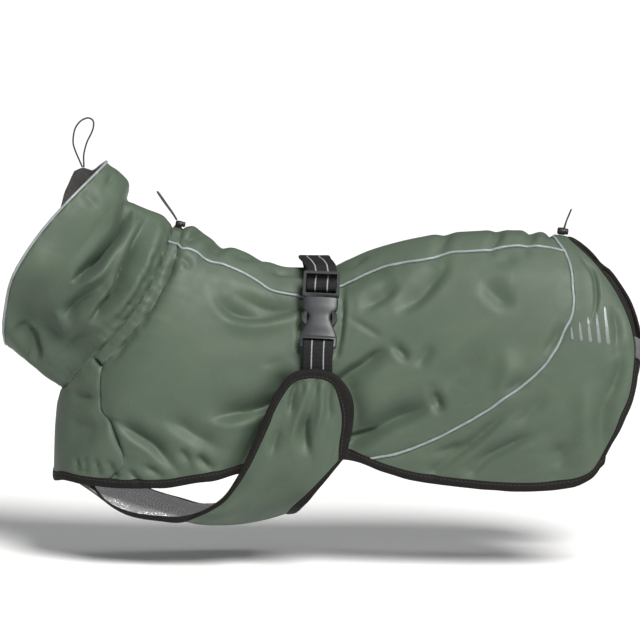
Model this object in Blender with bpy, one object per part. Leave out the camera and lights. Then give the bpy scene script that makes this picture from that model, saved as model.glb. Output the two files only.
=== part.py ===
"""A dog winter coat in sage-green satin, filled out as if worn, with its funnel collar,
belly panel, reflective piping, black bindings, girth webbing, buckle and elastic cords.

The frame: X runs from the collar (-) to the tail (+), -Y is the near side that carries the
buckle and Z is up. The origin is on the inner face of the back, under the girth webbing.
Lengths below are millimetres until the last step, which writes metres.
"""
import math
from collections import namedtuple

import bmesh
import bpy
from mathutils import Vector

MM = 0.001

# ---- driving dimensions, millimetres ----
WALL = 1.6              # shell cloth with its lining
LINING = 1.0            # collar lining
FOIL = 1.0              # silver lining of the belly panel
SEAM_GAP = 0.36         # between the cut edges of two neighbours
BELLY_GAP = 1.2         # the same round the belly panel, whose edges turn sharply
FACE_GAP = 0.35         # between a piece and the piece that it lies on
LINING_EASE = 0.35      # more of it behind the belly panel
PIPE_RADIUS = 1.3       # reflective piping
PIPE_ROOM = 0.1         # more gap round the collar rim
PIPE_SHORT = 3.4        # how far piping ends short of the seam that it runs into
BINDING_WIDTH = 7.0
BINDING_PROUD = 0.6     # how far a binding stands out of the cloth on each face
WEB_WIDTH = 24.0        # nominal 25 mm webbing
WEB_THICK = 1.6
CORD_DIAMETER = 1.4


def table(columns, rows):
    """Rows with named columns."""
    row_type = namedtuple("Row", columns)
    return [row_type(*row) for row in rows]


# ---- body: closed rings from the neck to the tail, each in a plane across the wearer ----
# top: the back line. low: the chest and belly line. half: half width.
# bow: how far the middle of the ring's plane bulges to the tail. lean: how much that bulge
# sits above the middle.
BODY = table("top_x top_z low_x low_z half bow lean", [
    (-116, 36.0, -208.0, -97, 45.0, 11, 0.5),
    (-108, 34.8, -210.5, -110, 49.5, 15, 0.5),
    (-100, 35.0, -211.5, -124, 53.0, 14, 0.5),
    (-91, 29.5, -212.0, -139, 55.5, 11, 0.5),
    (-81, 21.0, -212.5, -154, 57.5, 7, 0.5),
    (-69, 17.2, -213.0, -170, 59.0, 3, 0.5),
    (-56, 12.6, -212.0, -188, 60.0, 0, 0.5),
    (-42, 7.0, -205.0, -206, 61.0, 0, 0.5),
    (-28, 2.5, -190.0, -222, 61.5, 0, 0.5),
    (-14, 1.8, -165.0, -234, 62.0, 0, 0.5),
    (0, 1.6, -130.0, -242, 62.0, 0, 0.5),
    (12, 2.2, -85.0, -246, 62.0, 0, 0.5),
    (24, 8.0, -30.0, -246, 62.0, 0, 0.5),
    (44, 16.5, 40.0, -246, 62.5, 0, 0.5),
    (70, 24.3, 90.0, -250, 63.0, 2, 0.5),
    (104, 29.8, 130.0, -254, 64.0, 6, 0.5),
    (138, 32.5, 162.0, -256, 64.0, 12, 0.5),
    (165, 32.5, 186.0, -254, 62.0, 20, 0.5),
    (184, 31.0, 200.0, -248, 59.0, 30, 0.5),
    (198, 28.8, 206.0, -236, 54.0, 42, 0.5),
    (208, 25.0, 182.0, -226, 46.0, 58, 0.5),
    (214, 20.0, 166.0, -220, 35.0, 63, 0.5),
])

# ---- body folds, in the side view: from 0 to 1, sagging down between ----
BODY_FOLDS = table("x0 z0 x1 z1 sag width depth", [
    (-73, -17, -14, -27, 9, 9, 2.6),
    (-160, -107, -106, -149, 2, 9, 2.2),
    (-123, -106, -79, -134, 3, 9, 2.2),
    (-83, -102, -31, -94, 3, 10, 3.4),
    (23, -81, 76, -61, 3, 9, 2.2),
    (29, -124, 101, -98, -4, 9, 2.4),
    (68, -27, 105, 3, 2, 9, 1.8),
])

# ---- collar: closed rings from the neck seam to the rim, and one past it for the lining ----
COLLAR = table("top_x top_z low_x low_z half bow lean", [
    (-116, 36.0, -208.0, -97.0, 45.0, 11, 0.5),
    (-124, 43.0, -214.0, -92.5, 47.5, 8, 0.4),
    (-137, 48.0, -221.0, -87.0, 49.0, 4, 0.3),
    (-147, 52.5, -227.0, -81.5, 48.5, -2, 0.2),
    (-152.5, 55.5, -232.0, -77.5, 47.0, -6, 0.0),
    (-151, 64.0, -236.0, -74.0, 48.5, -9, -0.1),
    (-152, 71.0, -240.0, -71.0, 50.5, -13, -0.2),
    (-160, 79.0, -245.0, -67.0, 53.0, -17, -0.3),
    (-168, 85.8, -250.5, -63.6, 54.0, -21, -0.3),
    (-173, 96.0, -256.0, -56.0, 52.0, -25, -0.2),
])
COLLAR_FOLDS = table("x0 z0 x1 z1 sag width depth", [
    (-153, 53, -190, -2, 2, 6, 4.5),
    (-135, 42, -177, -37, 3, 6, 3.4),
    (-172, -8, -204, -30, 2, 9, 2.2),
])

# ---- seam lines in the side view, top or front end first ----
UPPER_SEAM = table("x z", [
    (-113, 24), (-106, 20.5), (-96, 18), (-76, 8), (-56, 0), (-46, -6), (-34, -12.5),
    (-12, -15), (20, -7), (50, 6), (85, 12.5), (105, 18), (132, 20.5), (164, 24), (188, 22.5),
    (200, 20),
])
DART_SEAM = table("x z", [
    (-171, -73), (-173, -87), (-172, -106), (-164, -118), (-156, -137), (-153, -151),
])
RUMP_SEAM = table("x z", [
    (200, 20), (205, 8), (207, -7), (208, -18), (206, -30), (201, -40), (194, -55),
    (184, -69), (169, -83), (152, -95), (138, -105), (99, -127), (67, -140),
])
HEM = table("x z", [
    (-213, -170), (-204, -168.5), (-182, -170), (-147, -171), (-118, -170), (-91, -165),
    (-59, -160), (-20, -152), (24, -145), (56, -155), (86, -163), (129, -168), (167, -170),
    (201, -168), (213, -165.5), (223, -160), (230, -152),
])
REAR_SEAM = table("s angle", [
    (19.35, 0), (19.45, 9), (19.95, 22), (20.02, 38), (19.96, 53), (19.85, 65), (19.66, 76),
    (19.55, 86), (19.25, 93), (19.05, 100),
])
HEM_DART = 0.16         # where the dart seam meets the hem, as a share of its length
HEM_RUMP = 0.60         # where the rump seam meets the hem


def smooth(rows, place):
    """The rows' values at a fractional row number, on a smooth curve through all rows."""
    last = len(rows) - 1
    i = min(max(int(math.floor(place)), 0), last - 1)
    f = place - i
    before = rows[max(i - 1, 0)]
    after = rows[min(i + 2, last)]
    h00 = (1 + 2 * f) * (1 - f) ** 2
    h10 = f * (1 - f) ** 2
    h01 = f * f * (3 - 2 * f)
    h11 = f * f * (f - 1)
    values = []
    for p, a, b, q in zip(before, rows[i], rows[i + 1], after):
        values.append(h00 * a + h10 * (b - p) / 2 + h01 * b + h11 * (q - a) / 2)
    return values


def add(a, b, scale=1.0):
    """a + b * scale, for 3-D points."""
    return tuple(p + q * scale for p, q in zip(a, b))


def cross(a, b):
    return (a[1] * b[2] - a[2] * b[1], a[2] * b[0] - a[0] * b[2], a[0] * b[1] - a[1] * b[0])


def unit(a):
    size = math.sqrt(sum(v * v for v in a))
    return tuple(v / size for v in a)


def fold_depth(folds, x, z):
    """How deep the folds sink the cloth at a place of the side view."""
    depth = 0.0
    for fold in folds:
        run_x = fold.x1 - fold.x0
        run_z = fold.z1 - fold.z0
        length = math.hypot(run_x, run_z)
        along = ((x - fold.x0) * run_x + (z - fold.z0) * run_z) / length ** 2
        off = ((x - fold.x0) * run_z - (z - fold.z0) * run_x) / length
        off -= fold.sag * 4 * along * (1 - along)
        if -0.3 < along < 1.3:
            fade = math.exp(-(max(0.0, abs(along - 0.5) - 0.3) / 0.2) ** 2)
            depth += fold.depth * fade * math.exp(-(off / fold.width) ** 2)
    return depth


def bulge(share, lean):
    """How far a ring's plane bulges at a share of its height from the top, about 1 at most."""
    return 4 * share * (1 - share) * (1 + lean * (1 - 2 * share))


class Tube:
    """A cloth surface through closed rings. A place on it is a ring number s and an angle
    in degrees: 0 on the top line, 90 on the near side, 180 on the low line, -90 on the far side."""

    def __init__(self, rings, folds, tailward):
        self.rings = rings
        self.folds = folds
        self.tailward = tailward    # 1 when the rings run to the tail, -1 when to the head

    def bare(self, s, angle):
        """The point before the folds."""
        top_x, top_z, low_x, low_z, half, bow, lean = smooth(self.rings, s)
        turn = math.radians(angle)
        share = (1 - math.cos(turn)) / 2
        run_x = low_x - top_x
        run_z = low_z - top_z
        length = math.hypot(run_x, run_z)
        push = bow * bulge(share, lean)
        x = top_x + run_x * share - run_z / length * push
        z = top_z + run_z * share + run_x / length * push
        return (x, -half * math.sin(turn), z)

    def normal(self, s, angle):
        """The outward direction."""
        along = add(self.bare(s + 0.02, angle), self.bare(s - 0.02, angle), -1)
        round_it = add(self.bare(s, angle + 0.5), self.bare(s, angle - 0.5), -1)
        return unit(tuple(v * self.tailward for v in cross(round_it, along)))

    def point(self, s, angle, out=0.0):
        """The point on the cloth's outer face, moved out by a distance."""
        start = self.bare(s, angle)
        out -= fold_depth(self.folds, start[0], start[2])
        return add(start, self.normal(s, angle), out)

    def find(self, x, z):
        """The place (s, angle) on the near side that shows at a point of the side view."""
        def miss(s):
            top_x, top_z, low_x, low_z, _, bow, lean = smooth(self.rings, s)
            run_x = low_x - top_x
            run_z = low_z - top_z
            length = math.hypot(run_x, run_z)
            share = ((x - top_x) * run_x + (z - top_z) * run_z) / length ** 2
            share = min(max(share, 0.0), 1.0)
            side = (-(x - top_x) * run_z + (z - top_z) * run_x) / length
            return side - bow * bulge(share, lean), share
        below = 0.0
        above = len(self.rings) - 1.0
        for _ in range(40):
            middle = (below + above) / 2
            if miss(middle)[0] > 0:
                below = middle
            else:
                above = middle
        share = miss(below)[1]
        return below, math.degrees(math.acos(1 - 2 * share))


class Line:
    """A seam or an edge on a tube, smooth through its places, from share 0 to share 1."""

    def __init__(self, tube, places):
        self.places = places
        self.reach = [0.0]
        for a, b in zip(places, places[1:]):
            self.reach.append(self.reach[-1] + math.dist(tube.bare(*a), tube.bare(*b)))

    def at(self, share):
        """The place (s, angle) at a share of the line's length."""
        goal = share * self.reach[-1]
        i = 0
        while i < len(self.places) - 2 and self.reach[i + 1] < goal:
            i += 1
        part = (goal - self.reach[i]) / (self.reach[i + 1] - self.reach[i])
        return tuple(smooth(self.places, i + part))

    def cut(self, start, end, spans):
        """Places at even steps from one share to another."""
        return [self.at(start + (end - start) * i / spans) for i in range(spans + 1)]


def joined(*runs):
    """Runs of places end to end, each starting where the one before it ends."""
    places = list(runs[0])
    for run in runs[1:]:
        places.extend(run[1:])
    return places


def far(places, low=False):
    """The mirror image of places on the far side, going the other way.
    low says that the line goes on past the low line, at 180 degrees, not past the top line."""
    full = 360 if low else 0
    return [(s, full - angle) for s, angle in reversed(places)]


def blend(a, b, share):
    return tuple(p + (q - p) * share for p, q in zip(a, b))


def patch(first, last, start, end, even=False):
    """Places that fill the space between four lines. first and last run across it, start and
    end run from first's ends to last's ends. Rows are even, or spaced as start's rings are."""
    rows = len(start) - 1
    spans = len(first) - 1
    grid = []
    for i in range(rows + 1):
        v = i / rows if even else (start[i][0] - start[0][0]) / (start[-1][0] - start[0][0])
        row = []
        for j in range(spans + 1):
            u = j / spans
            across = blend(first[j], last[j], v)
            along = blend(start[i], end[i], u)
            corners = blend(blend(first[0], first[-1], u), blend(last[0], last[-1], u), v)
            row.append(tuple(p + q - r for p, q, r in zip(across, along, corners)))
        grid.append(row)
    return grid


# ---- the body's lines ----
body = Tube(BODY, BODY_FOLDS, 1)
collar_tube = Tube(COLLAR, COLLAR_FOLDS, -1)

NECK_PIPING = 29.0      # degrees from the top, on the neck seam
NECK_DART = 119.0
CASING_PIPING = 28.5    # degrees from the top, on the casing's lower edge
CASING_DART = 114.0

SPANS_BACK = 4          # across the back panel
SPANS_LONG = 16         # along the upper seams and the hem below them
SPANS_CASING = 6        # down a side of the casing
SPANS_DART = 5
SPANS_SIDE = SPANS_CASING + SPANS_DART
SPANS_CHEST = 6         # round the chest
SPANS_RUMP = 6          # along the hem of the rump panel


def route(rows, up=0.0):
    """Places on the body for the rows of a side-view line, moved up by a distance."""
    return [body.find(row.x, row.z + up) for row in rows]


def ring_run(s, start, end, spans):
    """Places along one ring."""
    return [(s, start + (end - start) * i / spans) for i in range(spans + 1)]


def widened(places, width):
    """Places moved on towards the tail by a distance on the cloth."""
    moved = []
    for s, angle in places:
        step = math.dist(body.bare(s + 0.05, angle), body.bare(s - 0.05, angle)) / 0.1
        moved.append((s + width / step, angle))
    return moved


hem_line = Line(body, route(HEM))
bind_line = Line(body, route(HEM, BINDING_WIDTH))
dart_foot = bind_line.at(HEM_DART)
rump_foot = bind_line.at(HEM_RUMP)
rear_foot = bind_line.at(1.0)
dart_line = Line(body, [(1.0, CASING_DART)] + route(DART_SEAM)[1:] + [dart_foot])
rump_route = route(RUMP_SEAM)
rump_line = Line(body, rump_route + [rump_foot])
upper_line = Line(body, [(1.0, CASING_PIPING)] + route(UPPER_SEAM)[1:-1] + [rump_route[0]])
rear_line = Line(body, [tuple(row) for row in REAR_SEAM] + [rear_foot])
rump_top = Line(body, [(18.3, 0.0), (18.42, rump_route[0][1] / 2), rump_route[0]])

upper = upper_line.cut(0, 1, SPANS_LONG)
dart = dart_line.cut(0, 1, SPANS_DART)
rump_side = rump_line.cut(0, 1, SPANS_SIDE)
rump_back = rump_top.cut(0, 1, SPANS_BACK // 2)
casing_side = ring_run(1.0, CASING_PIPING, CASING_DART, SPANS_CASING)
casing_back = ring_run(1.0, -CASING_PIPING, CASING_PIPING, SPANS_BACK)
neck_side = ring_run(0.0, NECK_PIPING, NECK_DART, SPANS_CASING)
neck_back = ring_run(0.0, -NECK_PIPING, NECK_PIPING, SPANS_BACK)
neck_chest = ring_run(0.0, NECK_DART, 360 - NECK_DART, SPANS_CHEST)
bind_chest = bind_line.cut(0, HEM_DART, SPANS_CHEST // 2)
bind_side = bind_line.cut(HEM_DART, HEM_RUMP, SPANS_LONG)
bind_rump = bind_line.cut(HEM_RUMP, 1, SPANS_RUMP)
hem_half = joined(hem_line.cut(0, HEM_DART, SPANS_CHEST // 2),
                  hem_line.cut(HEM_DART, HEM_RUMP, SPANS_LONG),
                  hem_line.cut(HEM_RUMP, 1, SPANS_RUMP))
bind_half = joined(bind_chest, bind_side, bind_rump)
rear_half = rear_line.cut(0, 1, SPANS_SIDE + SPANS_BACK // 2)
edge_half = widened(rear_half, BINDING_WIDTH)


# ---- the body's panels, as places ----
def back_places():
    front = casing_back
    rear = joined(far(rump_back), rump_back)
    return patch(front, rear, far(upper)[::-1], upper)


def side_places():
    front = joined(casing_side, dart)
    lines = []
    for line in (upper, bind_side, front, rump_side):
        lines.append([body.bare(*place)[::2] for place in line])
    grid = []
    for row in patch(*lines, even=True)[1:-1]:
        grid.append([body.find(x, z) for x, z in row])
    for row, first, last in zip(grid, front[1:-1], rump_side[1:-1]):
        row[0] = first
        row[-1] = last
    return [upper] + grid + [bind_side]


def chest_places():
    """From near dart to far dart under the chest, rows from the neck to the hem."""
    near = [(0.0, NECK_DART)] + dart
    bottom = joined(far_low_first(bind_chest))
    return patch(neck_chest, bottom, near, [(s, 360 - angle) for s, angle in near])


def far_low_first(half):
    """From a half line that starts at the low line: near end, low line, far end."""
    return joined(half[::-1], [(s, 360 - angle) for s, angle in half])


def casing_places():
    """From the near dart over the nape to the far dart."""
    neck = joined(far(neck_side), neck_back, neck_side)
    edge = joined(far(casing_side), casing_back, casing_side)
    return [neck, edge]


def rump_places():
    front = joined(far(joined(rump_back, rump_side)), joined(rump_back, rump_side))
    rear = joined(far(rear_half), rear_half)
    near_end = bind_rump
    far_end = [(s, -angle) for s, angle in bind_rump]
    return patch(front, rear, far_end, near_end)


def hem_binding_places():
    """From the near rear corner under the chest to the far rear corner."""
    corner = widened([bind_half[-1]], BINDING_WIDTH)
    tip = widened([hem_half[-1]], BINDING_WIDTH)
    return [far_low_first(bind_half + corner), far_low_first(hem_half + tip)]


def rear_binding_places():
    return [joined(far(rear_half), rear_half), joined(far(edge_half), edge_half)]


def mirrored(grid):
    """A panel's places on the other side of the body."""
    return [[(s, -angle) for s, angle in row] for row in grid]


# ---- the belly panel: sections from the chest hem back to its rear edge ----
# base: on the middle line. edge: the near edge in the side view. half: half width.
# end: how far round, in degrees, the section runs from the middle line to its edge.
# lag: how much nearer the tail the far edge lies than the near one.
# swing: above 1, the section reaches its edge's x early and rises straight after that.
BELLY = table("base_x base_z edge_x edge_z half end lag swing", [
    (-207, -174.8, -182.0, -171.4, 42.0, 55, 2, 1.0),
    (-190, -181.0, -166.0, -180.0, 50.0, 55, 6, 1.0),
    (-165, -189.0, -148.0, -188.0, 52.5, 55, 9, 1.0),
    (-140, -196.0, -124.0, -195.0, 54.5, 57, 11, 1.0),
    (-118, -201.5, -102.0, -195.0, 57.5, 62, 14, 1.3),
    (-101, -205.0, -76.0, -180.0, 62.0, 74, 18, 1.8),
    (-89, -206.5, -63.0, -163.0, 65.5, 86, 20, 2.2),
    (-78, -207.0, -50.0, -137.0, 67.5, 94, 19, 2.4),
    (-69, -207.0, -39.5, -111.0, 68.5, 99, 17, 2.4),
    (-61, -206.5, -31.0, -92.0, 69.0, 101, 15, 2.3),
    (-54, -205.5, -18.5, -76.0, 69.0, 103, 12, 2.0),
    (-46, -204.0, -5.0, -71.0, 69.0, 103, 8, 1.7),
    (-38, -202.0, 10.5, -72.0, 69.0, 103, 4, 1.4),
    (-32, -200.0, 22.0, -78.5, 69.0, 102, 1, 1.2),
    (-27, -198.0, 30.5, -91.0, 69.0, 101, 0, 1.0),
    (-23, -196.5, 33.0, -105.0, 69.0, 99, 0, 1.0),
    (-20, -195.5, 31.5, -122.0, 68.5, 97, 0, 1.0),
    (-17, -195.0, 27.0, -141.0, 67.5, 95, 0, 1.0),
])
BELLY_SQUARE = 0.12     # how boxy the sections are
LAG_DROP = 0.3          # how much lower the far edge lies for each millimetre that it lags
SPANS_BELLY = 8         # from the middle line to the edge
BELLY_ROWS = (0, 1, 2, 3, 4, 4.5, 5, 5.5, 6, 6.5, 7, 8, 9)      # the panel's rows, as sections
REAR_ROWS = 8           # more rows from there to the rear binding
WIDEST_BINDING = 0.9    # the least share at which the side binding begins


class Sling:
    """The belly panel's outer face. A place is a section number s and a share of the way from
    the middle line (0) to the near edge (1) or the far edge (-1)."""

    def __init__(self, sections):
        self.sections = sections

    def bare(self, s, share):
        base_x, base_z, edge_x, edge_z, half, end, lag, swing = smooth(self.sections, s)
        turn = math.radians(end) * share
        rise = (1 - math.cos(turn)) / (1 - math.cos(math.radians(end)))
        wide = (math.sin(turn) + BELLY_SQUARE * math.sin(3 * turn)) / (1 - BELLY_SQUARE)
        shift = lag * (1 - (1 - min(share, 0.0) ** 2) ** 2)
        swung = 1 - (1 - min(rise, 1.0)) ** swing
        return (base_x + (edge_x - base_x) * swung + shift, -half * wide,
                base_z + (edge_z - base_z) * rise - shift * LAG_DROP)

    def normal(self, s, share):
        """The outward direction, square to the section and across the wearer."""
        across = add(self.bare(s, share + 0.01), self.bare(s, share - 0.01), -1)
        return unit((0.0, -across[2], across[1]))

    def point(self, s, share, out=0.0):
        return add(self.bare(s, share), self.normal(s, share), out)


sling = Sling(BELLY)
LAST_SECTION = len(BELLY) - 1


def belly_rear(share):
    """Where the rear binding of the belly panel begins."""
    step = math.dist(sling.bare(LAST_SECTION, share), sling.bare(LAST_SECTION - 1, share))
    return LAST_SECTION - BINDING_WIDTH / step


def belly_side(s, side):
    """Where the side binding of the belly panel begins, side being 1 near and -1 far."""
    across = add(sling.bare(s, side), sling.bare(s, 0.98 * side), -1)
    along = unit(add(sling.bare(s + 0.05, side), sling.bare(s - 0.05, side), -1))
    square = math.hypot(*cross(across, along)) / 0.02
    return side * max(1.0 - BINDING_WIDTH / square, WIDEST_BINDING)


def belly_row(i, share):
    """The section of row i of the panel: the later rows close up ahead of the rear binding."""
    if i < len(BELLY_ROWS):
        return BELLY_ROWS[i]
    ahead = belly_rear(share) - BELLY_ROWS[-1]
    return BELLY_ROWS[-1] + ahead * (i - len(BELLY_ROWS) + 1) / REAR_ROWS


def belly_places():
    """Rows from the far edge to the near edge."""
    grid = []
    for i in range(len(BELLY_ROWS) + REAR_ROWS):
        limits = (belly_side(belly_row(i, -1.0), -1), belly_side(belly_row(i, 1.0), 1))
        row = []
        for j in range(-SPANS_BELLY, SPANS_BELLY + 1):
            share = abs(j) / SPANS_BELLY * limits[1 if j > 0 else 0]
            row.append((belly_row(i, share), share))
        grid.append(row)
    return grid


def belly_rim_places():
    """The strip round the near side, the rear and the far side of the belly panel."""
    panel = belly_places()
    inner = [row[-1] for row in panel] + panel[-1][-2:0:-1] + [row[0] for row in reversed(panel)]
    near = [(row[-1][0], 1.0) for row in panel[:-1]] + [(LAST_SECTION, 1.0)]
    rear = [(LAST_SECTION, share) for _, share in panel[-1][-2:0:-1]]
    side = [(row[0][0], -1.0) for row in panel[:-1]] + [(LAST_SECTION, -1.0)]
    return [inner, near + rear + side[::-1]]


# ---- the solids ----
def cloth_material(name, colour, roughness, metallic=0.0):
    material = bpy.data.materials.new(name)
    material.use_nodes = True
    shader = material.node_tree.nodes["Principled BSDF"]
    shader.inputs["Base Color"].default_value = (*colour, 1.0)
    shader.inputs["Roughness"].default_value = roughness
    shader.inputs["Metallic"].default_value = metallic
    return material


SHELL_GREEN = (0.105, 0.155, 0.115)
BINDING_BLACK = (0.022, 0.019, 0.018)
PIPING_GREY = (0.42, 0.46, 0.47)
WEB_BLACK = (0.018, 0.018, 0.019)
BUCKLE_GREY = (0.045, 0.048, 0.052)
LINING_GREY = (0.05, 0.045, 0.045)
FOIL_SILVER = (0.45, 0.44, 0.45)
TAB_GREY = (0.13, 0.13, 0.13)


def make_object(name, points, faces, colour, roughness, metallic=0.0):
    """One closed body from points in millimetres, its faces pointing out."""
    mesh = bpy.data.meshes.new(name)
    mesh.from_pydata([Vector(point) * MM for point in points], [], faces)
    work = bmesh.new()
    work.from_mesh(mesh)
    bmesh.ops.recalc_face_normals(work, faces=work.faces)
    if work.calc_volume(signed=True) < 0:
        bmesh.ops.reverse_faces(work, faces=work.faces)
    work.to_mesh(mesh)
    work.free()
    mesh.shade_smooth()
    mesh.set_sharp_from_angle(angle=math.radians(40))
    mesh.materials.append(cloth_material(name, colour, roughness, metallic))
    item = bpy.data.objects.new(name, mesh)
    bpy.context.scene.collection.objects.link(item)
    return item


def sheet_faces(points, rows, columns, round_it=False):
    """Triangles of a closed wall whose outer grid comes first and inner grid after it. A cut
    edge is split by the place of its ends, so that neighbours along a seam are split alike."""
    under = rows * columns
    last = columns if round_it else columns - 1
    faces = []
    edges = []
    for i in range(rows - 1):
        for j in range(last):
            k = (j + 1) % columns
            a, b, c, d = (i * columns + j, i * columns + k, (i + 1) * columns + k,
                          (i + 1) * columns + j)
            for face in ((a, b, c), (a, c, d)):
                faces.append(face)
                faces.append(tuple(v + under for v in reversed(face)))
    for i in (0, rows - 1):
        edges += [(i * columns + j, i * columns + (j + 1) % columns) for j in range(last)]
    if not round_it:
        for j in (0, columns - 1):
            edges += [(i * columns + j, (i + 1) * columns + j) for i in range(rows - 1)]
    for a, b in edges:
        if sum(points[a]) > sum(points[b]):
            a, b = b, a
        faces.append((a, b, b + under))
        faces.append((a, b + under, a + under))
    return faces


def trimmed(grid, ups, amount, sides):
    """A grid of points with its cut edges moved in along the cloth, square to each edge."""
    rows = len(grid)
    columns = len(grid[0])
    edges = {
        "first": ([(0, j) for j in range(columns)], (1, 0)),
        "last": ([(rows - 1, j) for j in range(columns)], (-1, 0)),
        "start": ([(i, 0) for i in range(rows)], (0, 1)),
        "end": ([(i, columns - 1) for i in range(rows)], (0, -1)),
    }
    moved = [list(row) for row in grid]
    for side in sides:
        places, step = edges[side]
        squares = []
        facing = 0.0
        for n, (i, j) in enumerate(places):
            ahead = places[min(n + 1, len(places) - 1)]
            back = places[max(n - 1, 0)]
            tangent = unit(add(grid[ahead[0]][ahead[1]], grid[back[0]][back[1]], -1))
            squares.append(unit(cross(ups[i][j], tangent)))
            inward = unit(add(grid[i + step[0]][j + step[1]], grid[i][j], -1))
            facing += sum(p * q for p, q in zip(inward, squares[-1]))
        for (i, j), square in zip(places, squares):
            moved[i][j] = add(moved[i][j], square, math.copysign(amount, facing))
    return moved


ALL_SIDES = ("first", "last", "start", "end")


def make_sheet(name, surface, places, colour, roughness, lift=0.0, thick=WALL,
               sides=ALL_SIDES, round_it=False, metallic=0.0, gap=SEAM_GAP):
    """A wall on a surface: its outer face lifted off the surface, its thickness inwards."""
    ups = [[surface.normal(*place) for place in row] for row in places]
    points = []
    for out in (lift, lift - thick):
        grid = [[surface.point(*place, out) for place in row] for row in places]
        for row in trimmed(grid, ups, gap / 2, sides):
            points.extend(row)
    faces = sheet_faces(points, len(places), len(places[0]), round_it)
    return make_object(name, points, faces, colour, roughness, metallic)


def make_tube(name, path, outs, radius, colour, closed=False):
    """A hexagonal tube along a path, outs being the outward direction at each point."""
    sides = 6
    count = len(path)
    points = []
    for i in range(count):
        if closed:
            ahead = path[(i + 1) % count]
            back = path[i - 1]
        else:
            ahead = path[min(i + 1, count - 1)]
            back = path[max(i - 1, 0)]
        run = unit(add(ahead, back, -1))
        lean = sum(p * q for p, q in zip(outs[i], run))
        up = unit(add(outs[i], run, -lean))
        side = cross(run, up)
        for k in range(sides):
            turn = 2 * math.pi * (k + 0.5) / sides
            rim = add(tuple(v * math.cos(turn) for v in up), side, math.sin(turn))
            points.append(add(path[i], rim, radius))
    faces = []
    for i in range(count if closed else count - 1):
        n = (i + 1) % count
        for k in range(sides):
            m = (k + 1) % sides
            faces.append((i * sides + k, i * sides + m, n * sides + m, n * sides + k))
    if not closed:
        faces.append(tuple(reversed(range(sides))))
        faces.append(tuple(range((count - 1) * sides, count * sides)))
    return make_object(name, points, faces, colour, 0.45)


def seam_tube(name, places, radius=PIPE_RADIUS):
    """Piping along a body seam, its ends short of what they run into."""
    lift = FACE_GAP + radius / math.cos(math.pi / 6)
    path = [body.point(*place, lift) for place in places]
    outs = [body.normal(*place) for place in places]
    for end, inner in ((0, 1), (-1, -2)):
        path[end] = add(path[end], unit(add(path[inner], path[end], -1)), PIPE_SHORT)
    return make_tube(name, path, outs, radius, PIPING_GREY)


def make_body_panels():
    make_sheet("back_panel", body, back_places(), SHELL_GREEN, 0.5)
    make_sheet("side_panel_left", body, side_places(), SHELL_GREEN, 0.5)
    make_sheet("side_panel_right", body, mirrored(side_places()), SHELL_GREEN, 0.5)
    make_sheet("chest_panel", body, chest_places(), SHELL_GREEN, 0.5)
    make_sheet("rump_panel", body, rump_places(), SHELL_GREEN, 0.5)
    make_sheet("neck_casing", body, casing_places(), SHELL_GREEN, 0.5)


def make_bindings():
    thick = WALL + 2 * BINDING_PROUD
    make_sheet("hem_binding", body, hem_binding_places(), BINDING_BLACK, 0.8,
               BINDING_PROUD, thick)
    make_sheet("rear_binding", body, rear_binding_places(), BINDING_BLACK, 0.8,
               BINDING_PROUD, thick)


def make_piping():
    seam_tube("back_piping_left", upper)
    seam_tube("back_piping_right", [(s, -angle) for s, angle in upper])
    half = joined(rump_back, rump_side)
    seam_tube("rump_piping", joined(far(half), half))


# ---- the collar ----
RIM = 8                 # the collar ring that is the rim
PROUD = table("angle past", [
    (-90, 0.1), (-72, 0.1), (-66, 0.15), (-60, 0.33), (-54, 0.6), (-48, 0.87), (-42, 0.65),
    (-36, 0.2), (-30, 0.12), (90, 0.1),
])                      # how far past the rim the lining stands, in rings


def past_rim(angle):
    """How far the lining stands past the rim at an angle."""
    turn = (angle + 180) % 360 - 180
    before = PROUD[0]
    for row in PROUD:
        if row.angle > turn:
            share = (turn - before.angle) / max(row.angle - before.angle, 1)
            return before.past + (row.past - before.past) * min(max(share, 0), 1)
        before = row
    return before.past


def collar_angles():
    neck = joined(far(neck_side), neck_back, neck_side, neck_chest)
    return [angle for _, angle in neck[:-1]]


def make_collar():
    angles = collar_angles()
    rows = [[(s, angle) for angle in angles] for s in range(RIM + 1)]
    make_sheet("collar", collar_tube, rows, SHELL_GREEN, 0.5, sides=("first",), round_it=True)
    proud = [(RIM + past_rim(angle), angle) for angle in angles]
    make_sheet("collar_lining", collar_tube, rows + [proud], LINING_GREY, 0.8,
               -WALL - FACE_GAP, LINING, ("first",), True)
    path = []
    outs = []
    for angle in angles:
        rim = collar_tube.point(RIM, angle)
        onward = unit(add(rim, collar_tube.point(RIM - 0.2, angle), -1))
        path.append(add(rim, onward, FACE_GAP + PIPE_RADIUS + PIPE_ROOM))
        outs.append(onward)
    make_tube("collar_piping", path, outs, PIPE_RADIUS, PIPING_GREY, closed=True)


# ---- the belly panel ----
def make_belly():
    places = belly_places()
    make_sheet("belly_panel", sling, places, SHELL_GREEN, 0.5, gap=BELLY_GAP)
    make_sheet("belly_lining", sling, places, FOIL_SILVER, 0.35, -WALL - FACE_GAP - LINING_EASE, FOIL,
               metallic=0.8, gap=BELLY_GAP)
    thick = WALL + FACE_GAP + LINING_EASE + FOIL + 2 * BINDING_PROUD
    make_sheet("belly_binding", sling, belly_rim_places(), BINDING_BLACK, 0.8, BINDING_PROUD,
               thick)


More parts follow.
